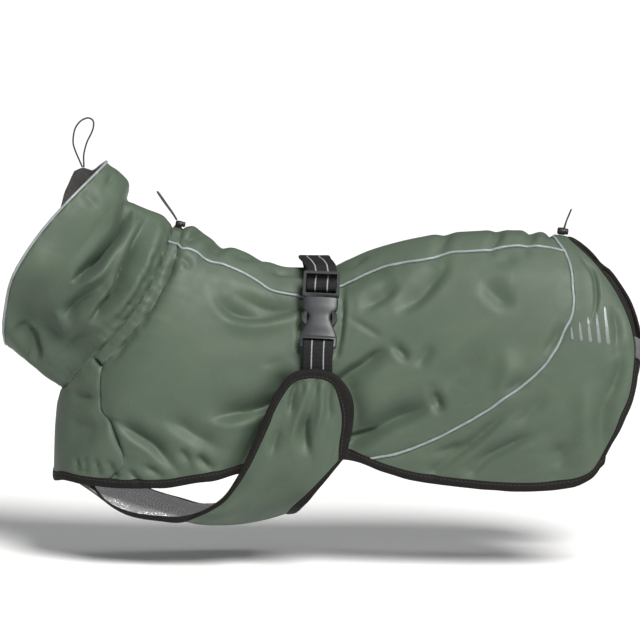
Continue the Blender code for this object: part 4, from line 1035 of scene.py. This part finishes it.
def make_belly():
    panel("belly_panel", sling, belly_places(BELLY_FINE), None, "satin")
    places = belly_places(LINING_FINE)[4:]
    places[..., 1] *= 0.985
    outer, ups = lie(sling, places, lift=FOIL_LIFT)
    loose = step_up(places[..., 0] - 1.2, 1.0) * step_up(0.84 - np.abs(places[..., 1]), 0.12)
    crinkle = 2.0 * noise(outer, 13, 41) + 0.7 * noise(outer, 6.5, 42)
    outer = outer + ups * (np.minimum(crinkle, 0.4) * loose)[..., None]
    cloth("belly_lining", outer, ups, FOIL, "lining")
    binding("belly_binding", sling, *belly_rim_places(BELLY_FINE), BELLY_THICK)


# ---- webbing ----
WEB_THICK = 1.6
WEB_FLAT = 12.0 - WEB_THICK / 2                 # half width without its round selvedge
BUCKLE_TOP = np.array([6.0, -34.8, 3.0])        # middle of the ladder bar's upper edge
BUCKLE_FOOT = np.array([4.0, -61.1, -53.6])     # middle of the socket's lower edge
LADDER_REACH = 21.5                             # the ladder above the socket's mouth
BUCKLE_V = unit(BUCKLE_FOOT - BUCKLE_TOP)
BUCKLE_U = unit(np.array([1.0, 0.0, BUCKLE_V[0] / -BUCKLE_V[2]]))
BUCKLE_W = np.cross(BUCKLE_V, BUCKLE_U)
MOUTH = BUCKLE_TOP + BUCKLE_V * LADDER_REACH
SEWN_SECTION = 11.0                             # of the belly panel, where the webbing is sewn
OVER_WING = 4.25                                # from the wing's face to the middle of the webbing
UNDER_WING = -5.2
HIDDEN_X = 3.6                                  # the hidden end's x under the near wing
# v and w of the girth strap round the ladder's lower bar, of the buckle strap round the foot bar
TUCKED = [(-5.9, -3.6), (-6.1, -1.2), (-6.6, 0.9), (-8.0, 2.2), (-12.4, 2.2), (-14.2, 0.8),
          (-15.2, -1.4), (-17.4, -4.4), (-21.5, -5.6)]
LOOP = [(49.0, -3.6), (44.0, -3.5), (40.0, -3.0), (38.0, -2.6), (36.9, -1.5), (36.7, 0.0), (36.9, 1.5),
        (38.0, 2.6), (40.0, 2.8), (43.0, 2.6), (48.0, 0.4)]
ARCH = [(4.5, -24.0, 6.4), (1.0, -13.0, 9.0), (-3.0, 0.0, 9.9), (-3.0, 14.0, 9.2), (-2.0, 27.0, 4.6),
        (0.0, 40.0, -9.0), (2.0, 50.5, -28.0), (4.0, 59.5, -50.0), (6.0, 66.5, -66.0)]


def at_buckle(u, v, w):
    """Points from the buckle's own frame: u across, v down it from the mouth, w out."""
    u, v, w = (np.asarray(value, float)[..., None] for value in (u, v, w))
    return MOUTH + BUCKLE_U * u + BUCKLE_V * v + BUCKLE_W * w


def evenly(points, step, rounds):
    """A path through points at even steps, its corners rounded by repeated averaging."""
    points = np.asarray(points, float)
    reach = run_length(points[None], 1)[0]
    count = max(int(reach[-1] / step), 4)
    even = np.linspace(0, reach[-1], count + 1)
    path = np.stack([np.interp(even, reach, points[:, k]) for k in range(points.shape[1])], axis=-1)
    for _ in range(rounds):
        path[1:-1] = path[1:-1] / 2 + (path[:-2] + path[2:]) / 4
    return path


def make_web(name, path, across, wave, face=1):
    """Woven webbing along a path: a flat ribbon with round selvedges that flexes a little.
    face: the side, 1 or -1, that carries the reflective lines."""
    run = unit(np.gradient(path, axis=0))
    side = unit(across - run * np.sum(across * run, axis=-1, keepdims=True))
    up = np.cross(side, run)
    reach = run_length(path[None], 1)[0]
    flat = np.linspace(-1, 1, 17)[1:-1] * WEB_FLAT
    right = [(WEB_FLAT + math.cos(t) * WEB_THICK / 2, math.sin(t) * WEB_THICK / 2)
             for t in np.linspace(-math.pi / 2, math.pi / 2, 5)]
    profile = [(v, -WEB_THICK / 2) for v in flat] + right + [(v, WEB_THICK / 2) for v in flat[::-1]]
    profile = np.array(profile + [(-v, w) for v, w in reversed(right)])
    rings = []
    for v, w in profile:
        cup = 0.25 * wave * (np.cos(reach / 17 + 1) * (v / 12) ** 2 + np.sin(reach / 11) * v / 12 * 0.5)
        edge = v * (1 + 0.008 * np.sin(reach / 5.3))
        rings.append(path + side * edge[:, None] + up * (w + cup)[:, None])
    front = np.where(face * profile[:, 1] > 0.1, profile[:, 0], profile[:, 0] + 60)
    finish_piece(loft(name, np.stack(rings, axis=1), reach, front), ["webbing"], name)


def sewn_end(share, lift):
    """The webbing's end, along the belly panel at shares of its half section."""
    s = np.full(len(share), SEWN_SECTION)
    return sling.bare(s, np.array(share)) + sling.normal(s, np.array(share)) * lift


def make_webbing():
    tucked = at_buckle(0, *np.transpose(TUCKED))
    arch = smooth(ARCH, np.linspace(0, len(ARCH) - 1, 49))
    path = evenly(np.concatenate([tucked, arch, sewn_end([-0.985, -0.95, -0.91], OVER_WING)]), 0.9, 3)
    high = step_up(np.arange(len(path)) - 28, 12)[:, None]
    make_web("girth_strap", path, unit(BUCKLE_U * (1 - high) + np.array([1.0, 0, 0]) * high), 1.0)

    hidden = sewn_end([1.0, 0.96, 0.93], UNDER_WING)
    hidden[:, 0] = HIDDEN_X
    path = evenly(np.concatenate([at_buckle(0, *np.transpose(LOOP)), hidden]), 0.9, 2)
    make_web("buckle_strap", path, np.broadcast_to(BUCKLE_U, path.shape), 0.4, -1)


# ---- the side-release buckle ----
SOCKET_OUTLINE = [      # v, half width
    (0.0, 13.0), (0.6, 13.8), (2.0, 14.1), (8.0, 14.1), (10.0, 13.6), (11.4, 12.4), (13.0, 10.3),
    (14.4, 9.0), (16.5, 8.4), (18.6, 8.7), (22.0, 10.2), (26.0, 12.0), (29.5, 13.5), (32.0, 14.4),
    (34.0, 14.7), (40.5, 14.7), (41.5, 14.3), (42.0, 13.6),
]
SOCKET_LENGTH = 42.0
SOCKET_HALF = 4.6       # half thickness on the middle line
WINDOW_HALF = 12.4
FRAME_HALF = 14.5


def socket_blank():
    """The socket's body: a crowned shell with a narrow waist and a stepped foot."""
    v = np.concatenate([np.linspace(0, 0.9, 5), np.linspace(1.3, 32.6, 64), np.linspace(33.0, 34.4, 6),
                        np.linspace(35, 41, 10), np.linspace(41.3, SOCKET_LENGTH, 4)])
    half = np.interp(v, *np.transpose(SOCKET_OUTLINE))
    half[4:-4] = (half[3:-5] + half[4:-4] + half[5:-3]) / 3
    ends = np.sqrt(1 - (1 - np.clip(np.minimum(v, SOCKET_LENGTH - v) / 0.9, 0.03, 1)) ** 2)
    step = 1 - 0.2 * step_up(v - 33.0, 1.2)
    swell = 1 - 0.12 * np.cos(np.clip(v - 16, -16, 16) / 16 * math.pi) ** 2
    thick = SOCKET_HALF * (0.55 + 0.45 * ends) * step * swell
    turn = np.linspace(0, 2 * math.pi, 56, endpoint=False)
    squared = [np.sign(wave) * np.abs(wave) ** 0.33 for wave in (np.cos(turn), np.sin(turn))]
    u = half[:, None] * squared[0]
    w = thick[:, None] * squared[1] * (1 - 0.34 * (u / 14.7) ** 2)
    return loft("buckle_socket_form", at_buckle(u, v[:, None] + 0 * u, w))


def prism(name, outline, low, high):
    """An outline of (u, v) points, solid from w = low to w = high."""
    return loft(name, np.stack([at_buckle(*np.transpose(outline), w) for w in (low, high)]))


def box(name, half, top, bottom, low, high):
    return prism(name, [(-half, top), (half, top), (half, bottom), (-half, bottom)], low, high)


def moulded(name, blank, cutters, bevel, paint):
    """A blank with pieces cut out of it and its edges rounded, as one plain mesh."""
    for obj in [blank] + cutters:
        show(obj)
    for cutter in cutters:
        cut = blank.modifiers.new(cutter.name, "BOOLEAN")
        cut.operation = "DIFFERENCE"
        cut.object = cutter
        cut.solver = "EXACT"
    edges = blank.modifiers.new("edges", "BEVEL")
    edges.width = bevel * MM
    edges.segments = 3
    edges.limit_method = "ANGLE"
    edges.angle_limit = math.radians(38)
    mesh = bpy.data.meshes.new_from_object(blank.evaluated_get(bpy.context.evaluated_depsgraph_get()))
    for obj in [blank] + cutters:
        bpy.data.objects.remove(obj)
    mesh.name = name
    mesh.shade_smooth()
    mesh.set_sharp_from_angle(angle=math.radians(50))
    finish_piece(bpy.data.objects.new(name, mesh), [paint], name)


def make_buckle():
    moulded("buckle_socket", socket_blank(), [
        box("cavity", WINDOW_HALF, -2, 24.2, -2.5, 2.5),
        box("slot", WINDOW_HALF + 0.3, 35.0, 38.6, -6, 6),
        box("front", WINDOW_HALF, 36.0, 43.0, 1.2, 7),
        box("back", WINDOW_HALF, 36.0, 43.0, -7, -1.2),
    ], 0.3, "plastic")
    top = -LADDER_REACH
    right = [
        (12.9, top), (14.0, top + 0.4), (FRAME_HALF, top + 1.5), (FRAME_HALF, -2.0), (14.2, -1.0),
        (13.4, -0.5), (12.0, -0.5), (12.0, 12.2), (13.2, 12.9), (14.0, 14.2), (14.2, 17.0),
        (13.6, 19.6), (12.4, 21.8), (11.4, 23.0), (10.6, 23.4), (9.9, 22.9), (9.8, 22.0),
        (10.4, 17.0), (9.6, 12.0), (8.4, 4.0), (8.4, 1.5),
    ]
    outline = right + [(-u, v) for u, v in reversed(right)]
    # the plug takes the darker copy of the acetal, whose darkness is painted shade
    moulded("buckle_plug", prism("buckle_plug_form", outline, -2.5, 2.5), [
        box("upper_window", WINDOW_HALF, -19.3, -12.8, -4, 4),
        box("lower_window", WINDOW_HALF, -8.2, -3.2, -4, 4),
        box("bar_front", WINDOW_HALF, -13.5, -7.5, 1.0, 4),
        box("arm_front", FRAME_HALF + 1, -0.2, 30, 2.1, 4),
        box("arm_back", FRAME_HALF + 1, -0.2, 30, -4, -2.1),
    ], 0.6, "plug")


# ---- cords, their routes as in the CAD, in metres ----
CORD_DIAMETER = 0.0014
# COLLAR_CORD's points were picked by eye on the photo and converted by a scratch script.
COLLAR_CORD = [
    (-0.1913, 0.033, 0.0777), (-0.1943, 0.0332, 0.0845), (-0.1969, 0.0333, 0.0907),
    (-0.1987, 0.0335, 0.0968), (-0.1984, 0.0336, 0.1039), (-0.1966, 0.0338, 0.1101),
    (-0.1924, 0.0339, 0.1153), (-0.1868, 0.0341, 0.1176), (-0.1827, 0.0343, 0.1154),
    (-0.1824, 0.0344, 0.1102), (-0.1842, 0.0346, 0.105), (-0.1873, 0.0347, 0.0988),
    (-0.1893, 0.0349, 0.0925), (-0.1904, 0.035, 0.0863), (-0.1902, 0.0352, 0.0774),
]
NECK_CORD = [
    (-0.1126, -0.006, 0.0403), (-0.1156, -0.0068, 0.0453), (-0.1225, -0.0082, 0.055),
    (-0.127, -0.0074, 0.0615), (-0.1282, -0.005, 0.063), (-0.127, -0.0026, 0.0615),
    (-0.1225, -0.0018, 0.055), (-0.1156, -0.0032, 0.0453), (-0.1126, -0.0036, 0.0403),
]
TAIL_CORD = [
    (0.1986, -0.0016, 0.0353), (0.2004, -0.0026, 0.041), (0.2026, -0.0028, 0.0464),
    (0.204, -0.0014, 0.0498), (0.2042, 0.0006, 0.0499), (0.2028, 0.0022, 0.0464),
    (0.2006, 0.0022, 0.041), (0.199, 0.0014, 0.0353),
]
# the shape of a cord lock from each end: millimetres in, share of the radius
LOCK_FRONT = [(0.0, 0.55), (0.1, 0.72), (0.6, 0.9), (1.5, 1.0)]
LOCK_BUTTON = [(3.2, 1.0), (2.5, 0.95), (2.35, 0.8), (2.1, 0.76), (1.9, 0.8), (1.75, 0.88),
               (0.7, 0.86), (0.2, 0.7), (0.0, 0.45)]


def make_cord(name, points, *with_pieces):
    """A round elastic cord. Its exit is its first point and its far end is back on the coat."""
    line = smooth_line(points)
    curve = bpy.data.curves.new(name, "CURVE")
    curve.dimensions = "3D"
    curve.bevel_depth = CORD_DIAMETER / 2
    curve.bevel_resolution = 4
    curve.use_fill_caps = True
    spline = curve.splines.new("POLY")
    spline.points.add(len(line) - 1)
    for point, place in zip(spline.points, line):
        point.co = (*place, 1.0)
    obj = finish_piece(bpy.data.objects.new(name, curve), ["cord"], name)


def make_lock(name, middle, axis, length, radius):
    """A turned barrel: rounded shoulders, a groove, and the head of its push button."""
    half = length / 2
    profile = [(away - half, share) for away, share in LOCK_FRONT] + [(-0.2, 1.03)]
    profile += [(half - away, share) for away, share in LOCK_BUTTON]
    profile = np.array(profile) * (1, radius)
    axis = unit(np.array(axis, float))
    side = unit(np.cross(axis, (0, 0, 1.0)))
    up = np.cross(side, axis)
    turn = np.linspace(0, 2 * math.pi, 28, endpoint=False)[None, :, None]
    rings = (np.array(middle) + axis * profile[:, None, :1]
             + profile[:, None, 1:] * (np.cos(turn) * side + np.sin(turn) * up))
    return finish_piece(loft(name, rings, profile[:, 0], np.linspace(0, 10, 28)), ["lock"], name)


def make_cords():
    neck_lock = make_lock("neck_cord_lock", (-109.6, -4.8, 37.0), (1, 0, -0.15), 8.0, 2.5)
    tail_lock = make_lock("tail_cord_lock", (197.6, 0.0, 32.6), (1, 0, -0.1), 9.0, 2.9)
    make_cord("collar_cord", COLLAR_CORD)
    make_cord("neck_cord", NECK_CORD, neck_lock)
    make_cord("tail_cord", TAIL_CORD, tail_lock)


# ---- the folded tab over the rear binding ----
def make_tab():
    inner = rear_line.cut(0.5, 0.58, 16)
    places = between(inner, widened(inner, BINDING_WIDTH + 2.0), 15)
    points, ups = lie(body, places, lift=2.6)
    over = (1.2 * np.sin(math.pi * np.linspace(0, 1, 15)) ** 0.7)[:, None]
    side = np.linspace(-1, 1, points.shape[1])[None, :]
    points = points + ups * (over - 0.5 * side ** 4 - 0.7)[..., None]
    cloth("rear_tab", points, ups, 1.5, "tab")


# ---- a plain reflective mark on the rump: five slim tapering bars ----
BAR_FOOT = (236.0, -52.0)
BAR_STEP = (-7.2, 1.1)
BARS = [(30.0, 3.4), (25.0, 3.2), (20.0, 3.0), (15.0, 2.8), (10.0, 2.6)]       # height, width
BAR_LEAN = -0.12
BAR_LIFT = 0.24
BAR_THICK = 0.14


def make_mark():
    t = np.linspace(0, 1, 25)[:, None]
    c = np.linspace(-1, 1, 5)[None, :]
    taper = (1 - 0.6 * t) * (1 - np.abs(2 * t - 1) ** 12) ** 0.5
    work = bmesh.new()
    for n, (height, width) in enumerate(BARS):
        x = BAR_FOOT[0] + BAR_STEP[0] * n + BAR_LEAN * height * t + c * taper * width / 2
        z = BAR_FOOT[1] + BAR_STEP[1] * n + height * t + 0 * c
        points, ups = lie(body, body.find(x, z), lift=BAR_LIFT)
        bar = shell("bar", points, points - ups * BAR_THICK)
        work.from_mesh(bar.data)
        bpy.data.objects.remove(bar)
    mesh = bpy.data.meshes.new("rump_mark")
    work.to_mesh(mesh)
    work.free()
    finish_piece(bpy.data.objects.new("rump_mark", mesh), ["reflective"], "rear_tab", replaced=False)


# ---- materials ----
class Paint:
    """A procedural material, its nodes added one by one. Cloth coordinates are centimetres."""

    def __init__(self, name, place="cloth", **constants):
        self.material = bpy.data.materials.new(name)
        self.material.use_nodes = True
        self.tree = self.material.node_tree
        self.shader = self.tree.nodes["Principled BSDF"]
        for socket, value in constants.items():
            self.shader.inputs[socket.replace("_", " ")].default_value = value
        if place == "cloth":
            self.place = self.add("ShaderNodeUVMap", uv_map="cloth").outputs["UV"]
        else:
            metres = self.add("ShaderNodeTexCoord").outputs["Object"]
            self.place = self.scaled(metres, (100, 100, 100))
        parts = self.add("ShaderNodeSeparateXYZ", {"Vector": self.place})
        self.across, self.along = parts.outputs["X"], parts.outputs["Y"]
        self.height = None

    def add(self, kind, inputs=None, **settings):
        node = self.tree.nodes.new(kind)
        for key, value in settings.items():
            setattr(node, key, value)
        for key, value in (inputs or {}).items():
            if isinstance(value, bpy.types.NodeSocket):
                self.tree.links.new(value, node.inputs[key])
            else:
                node.inputs[key].default_value = value
        return node

    def math(self, kind, *values):
        return self.add("ShaderNodeMath", dict(enumerate(values)), operation=kind).outputs[0]

    def times(self, a, b):
        return self.math("MULTIPLY", a, b)

    def off(self, value, middle):
        return self.math("ABSOLUTE", self.math("SUBTRACT", value, middle))

    def blend(self, a, share, b):
        """A share of one value and the rest of another."""
        return self.math("MULTIPLY_ADD", a, share, self.times(b, 1 - share))

    def scaled(self, vector, scale):
        return self.add("ShaderNodeMapping", {"Vector": vector, "Scale": scale}).outputs[0]

    def noise(self, scale, detail=2.0, stretch=None, warp=0.0):
        place = self.scaled(self.place, stretch) if stretch else self.place
        return self.add("ShaderNodeTexNoise", {"Vector": place, "Scale": scale, "Detail": detail,
                                               "Distortion": warp}).outputs["Fac"]

    def cells(self, scale, even=1.0, **settings):
        return self.add("ShaderNodeTexVoronoi", {"Vector": self.place, "Scale": scale,
                                                 "Randomness": even}, **settings).outputs["Distance"]

    def ripple(self, value, period):
        """A smooth wave from 0 to 1 along a coordinate."""
        turn = self.times(value, 2 * math.pi / period)
        return self.math("MULTIPLY_ADD", self.math("SINE", turn), 0.5, 0.5)

    def spread(self, value, low, high, to_low=0.0, to_high=1.0):
        """A value's smooth way from one range to another."""
        return self.add("ShaderNodeMapRange", {
            "Value": value, "From Min": low, "From Max": high, "To Min": to_low, "To Max": to_high,
        }, interpolation_type="SMOOTHSTEP").outputs["Result"]

    def ramp(self, value, *stops):
        """Colours along a value: position, red, green, blue."""
        node = self.add("ShaderNodeValToRGB", {"Fac": value})
        elements = node.color_ramp.elements
        while len(elements) < len(stops):
            elements.new(0.5)
        for element, (position, *colour) in zip(elements, stops):
            element.position = position
            element.color = (*colour, 1)
        return node.outputs["Color"]

    def mix(self, share, below, colour):
        """A constant colour laid over another by a share."""
        node = self.add("ShaderNodeMix", {"Factor": share, 6: below, 7: (*colour, 1)}, data_type="RGBA")
        return node.outputs[2]

    def bump(self, height, depth):
        """Adds relief of a depth in millimetres."""
        inputs = {"Height": height, "Strength": 1.0, "Distance": depth * MM}
        if self.height is not None:
            inputs["Normal"] = self.height
        self.height = self.add("ShaderNodeBump", inputs).outputs["Normal"]

    def done(self, colour, roughness):
        for value, socket in ((colour, "Base Color"), (roughness, "Roughness"), (self.height, "Normal")):
            self.tree.links.new(value, self.shader.inputs[socket])
        return self.material


def satin_paint():
    """Sage-green polyester satin: fine twill, soft crinkle, lighter where edges rub."""
    paint = Paint("satin", Sheen_Weight=0.06, Sheen_Roughness=0.4, Specular_IOR_Level=0.3,
                  Sheen_Tint=(0.85, 0.95, 0.88, 1))
    tone = paint.blend(paint.noise(1.0, 3.0, stretch=(9.0, 0.9, 1.0)), 0.35,
                       paint.noise(0.22, 3.0, warp=0.4))
    colour = paint.ramp(tone, (0.3, 0.050, 0.073, 0.053), (0.52, 0.059, 0.083, 0.058),
                        (0.72, 0.070, 0.094, 0.064))
    from_edge = paint.add("ShaderNodeAttribute", attribute_name="edge").outputs["Fac"]
    worn = paint.times(paint.spread(from_edge, 2.6, 0.4), paint.noise(3.0, 3.0))
    colour = paint.mix(paint.times(worn, 0.4), colour, (0.13, 0.165, 0.13))
    twill = paint.ripple(paint.math("MULTIPLY_ADD", paint.along, 0.45, paint.across), 0.045)
    paint.bump(paint.noise(0.7, 2.0, warp=0.6), 0.14)
    paint.bump(paint.noise(3.0, 2.0, warp=0.5), 0.05)
    paint.bump(paint.math("MULTIPLY_ADD", paint.ripple(paint.along, 0.03), 0.5, twill), 0.012)
    return paint.done(colour, paint.spread(paint.noise(0.8, 4.0), 0.3, 0.7, 0.52, 0.6))


def binding_paint():
    """Black woven tape with a line of stitches beside its inner lip."""
    paint = Paint("binding", Sheen_Weight=0.02, Sheen_Roughness=0.5, Specular_IOR_Level=0.15,
                  Sheen_Tint=(0.8, 0.8, 0.8, 1))
    fuzz = paint.noise(2.5, 4.0)
    colour = paint.ramp(fuzz, (0.3, 0.005, 0.0045, 0.004), (0.7, 0.011, 0.010, 0.0095))
    off = paint.off(paint.across, 0.24)
    dash = paint.spread(paint.ripple(paint.along, 0.33), 0.15, 0.4)
    stitch = paint.times(paint.spread(off, 0.05, 0.02), dash)
    colour = paint.mix(stitch, colour, (0.03, 0.028, 0.026))
    paint.bump(paint.noise(1.6, 2.0), 0.35)
    paint.bump(paint.math("ADD", paint.ripple(paint.along, 0.055), paint.ripple(paint.across, 0.07)), 0.04)
    paint.bump(paint.math("SUBTRACT", stitch, paint.spread(off, 0.11, 0.03)), 0.25)
    return paint.done(colour, paint.spread(fuzz, 0.3, 0.7, 0.62, 0.8))


def piping_paint():
    """Light grey reflective tape wrapped round a cord."""
    paint = Paint("piping", Specular_IOR_Level=0.6, Sheen_Weight=0.1)
    colour = paint.ramp(paint.noise(1.2, 4.0), (0.3, 0.15, 0.172, 0.178), (0.55, 0.20, 0.225, 0.232),
                        (0.75, 0.26, 0.285, 0.292))
    beads = paint.noise(55.0, 1.0)
    colour = paint.mix(paint.times(paint.spread(beads, 0.55, 0.75), 0.4), colour, (0.36, 0.385, 0.39))
    paint.bump(paint.noise(3.5, 2.0), 0.3)
    paint.bump(beads, 0.02)
    return paint.done(colour, paint.spread(beads, 0.3, 0.7, 0.3, 0.48))


def webbing_paint():
    """Black ribbed webbing with two thin reflective lines on its face."""
    paint = Paint("webbing", Sheen_Weight=0.01, Sheen_Roughness=0.5, Specular_IOR_Level=0.14)
    fuzz = paint.noise(3.0, 4.0)
    rib = paint.ripple(paint.along, 0.105)
    colour = paint.ramp(paint.blend(rib, 0.3, fuzz), (0.25, 0.004, 0.004, 0.0045),
                        (0.75, 0.016, 0.016, 0.017))
    line = paint.spread(paint.off(paint.math("ABSOLUTE", paint.across), 0.48), 0.062, 0.036)
    line = paint.times(line, paint.math("MULTIPLY_ADD", rib, 0.45, 0.55))
    colour = paint.mix(line, colour, (0.30, 0.32, 0.325))
    paint.bump(rib, 0.16)
    paint.bump(paint.ripple(paint.across, 0.11), 0.07)
    paint.bump(fuzz, 0.12)
    return paint.done(colour, paint.spread(fuzz, 0.3, 0.7, 0.5, 0.68))


def lining_paint():
    """Silver heat-reflecting lining printed with small dots. Its faint emission is a painted glow, and
    its colour is lighter on the crinkle's ridges and darker in its hollows: painted highlight and shade.
    """
    # the emission is a painted glow: light that no lamp gives
    paint = Paint("lining", Metallic=0.7, Emission_Color=(0.8, 0.8, 0.82, 1), Emission_Strength=0.09)
    crease = paint.noise(1.1, 4.0, warp=1.0)
    dot = paint.spread(paint.cells(3.4, 0.0), 0.36, 0.3)
    # painted highlight and shade: lighter where the crinkle's relief rises, darker in its hollows
    colour = paint.ramp(crease, (0.3, 0.55, 0.545, 0.55), (0.7, 0.80, 0.795, 0.80))
    colour = paint.mix(dot, colour, (0.16, 0.155, 0.16))
    paint.bump(crease, 3.0)
    paint.bump(paint.noise(4.5, 2.0, warp=1.0), 1.2)
    return paint.done(colour, paint.spread(dot, 0, 1, 0.24, 0.5))


def dark_lining_paint():
    """Dark knitted lining of the collar."""
    paint = Paint("lining_dark", Sheen_Weight=0.3, Sheen_Roughness=0.5, Specular_IOR_Level=0.3)
    fuzz = paint.noise(1.4, 4.0)
    colour = paint.ramp(fuzz, (0.3, 0.042, 0.037, 0.038), (0.7, 0.075, 0.068, 0.069))
    paint.bump(fuzz, 0.5)
    paint.bump(paint.times(paint.ripple(paint.across, 0.11), paint.ripple(paint.along, 0.14)), 0.12)
    return paint.done(colour, paint.spread(fuzz, 0.3, 0.7, 0.7, 0.85))


def plastic_paint():
    """Moulded acetal, dark grey, with faint flow marks and scuffs."""
    paint = Paint("plastic", "object", Specular_IOR_Level=0.4)
    flow = paint.noise(1.5, 3.0, stretch=(1.0, 1.0, 0.35))
    scuff = paint.spread(paint.noise(9.0, 4.0, stretch=(1.0, 1.0, 0.2)), 0.62, 0.75)
    colour = paint.ramp(flow, (0.3, 0.020, 0.022, 0.025), (0.7, 0.030, 0.0325, 0.036))
    colour = paint.mix(paint.times(scuff, 0.35), colour, (0.035, 0.037, 0.04))
    paint.bump(paint.noise(14.0, 2.0), 0.02)
    return paint.done(colour, paint.math("MULTIPLY_ADD", scuff, 0.12, 0.44))


def shaded_plug_paint():
    """The same acetal, painted near black: a darker copy of the socket's plastic, its darkness painted
    shade.
    """
    paint = Paint("plug", "object", Specular_IOR_Level=0.3)
    flow = paint.noise(1.5, 3.0, stretch=(1.0, 1.0, 0.35))
    # near-black colour: painted shade, the plug's acetal drawn darker than the socket's
    colour = paint.ramp(flow, (0.3, 0.006, 0.0065, 0.007), (0.7, 0.010, 0.011, 0.012))
    paint.bump(paint.noise(14.0, 2.0), 0.02)
    return paint.done(colour, paint.spread(flow, 0.3, 0.7, 0.42, 0.52))


def lock_paint():
    """Black moulded cord lock."""
    paint = Paint("lock", Specular_IOR_Level=0.3)
    spots = paint.noise(6.0, 3.0)
    colour = paint.ramp(spots, (0.3, 0.008, 0.008, 0.0085), (0.7, 0.016, 0.016, 0.017))
    paint.bump(spots, 0.05)
    return paint.done(colour, paint.spread(spots, 0.3, 0.7, 0.34, 0.5))


def cord_paint():
    """Braided black elastic."""
    paint = Paint("cord", "object", Sheen_Weight=0.3, Specular_IOR_Level=0.4)
    braid = paint.cells(14.0)
    colour = paint.ramp(braid, (0.15, 0.045, 0.045, 0.047), (0.6, 0.012, 0.012, 0.013))
    paint.bump(braid, 0.12)
    return paint.done(colour, paint.spread(braid, 0.1, 0.6, 0.55, 0.75))


def tab_paint():
    """Dark grey woven tape."""
    paint = Paint("tab", Sheen_Weight=0.2, Specular_IOR_Level=0.4)
    rib = paint.ripple(paint.along, 0.06)
    fuzz = paint.noise(3.0, 3.0)
    colour = paint.ramp(paint.blend(rib, 0.3, fuzz), (0.3, 0.05, 0.052, 0.05), (0.7, 0.09, 0.092, 0.09))
    paint.bump(paint.math("ADD", rib, paint.ripple(paint.across, 0.08)), 0.06)
    return paint.done(colour, paint.spread(fuzz, 0.3, 0.7, 0.5, 0.7))


def reflective_paint():
    """Printed reflective film with a fine mesh of glass beads."""
    paint = Paint("reflective", Metallic=0.15, Specular_IOR_Level=0.6)
    cells = paint.cells(12.0, 0.1, feature="DISTANCE_TO_EDGE")
    wear = paint.noise(4.0, 4.0)
    colour = paint.ramp(wear, (0.3, 0.12, 0.136, 0.13), (0.7, 0.17, 0.188, 0.18))
    colour = paint.mix(paint.spread(cells, 0.06, 0.02), colour, (0.08, 0.094, 0.09))
    paint.bump(cells, 0.03)
    return paint.done(colour, paint.spread(wear, 0.3, 0.7, 0.3, 0.45))


MATERIALS = {paint.name: paint for paint in (
    satin_paint(), binding_paint(), piping_paint(), webbing_paint(), lining_paint(),
    dark_lining_paint(), plastic_paint(), shaded_plug_paint(), lock_paint(), cord_paint(), tab_paint(),
    reflective_paint())}


make_camera()
make_studio()
make_cords()
make_body()
make_collar()
make_belly()
make_webbing()
make_tab()
make_buckle()
make_mark()
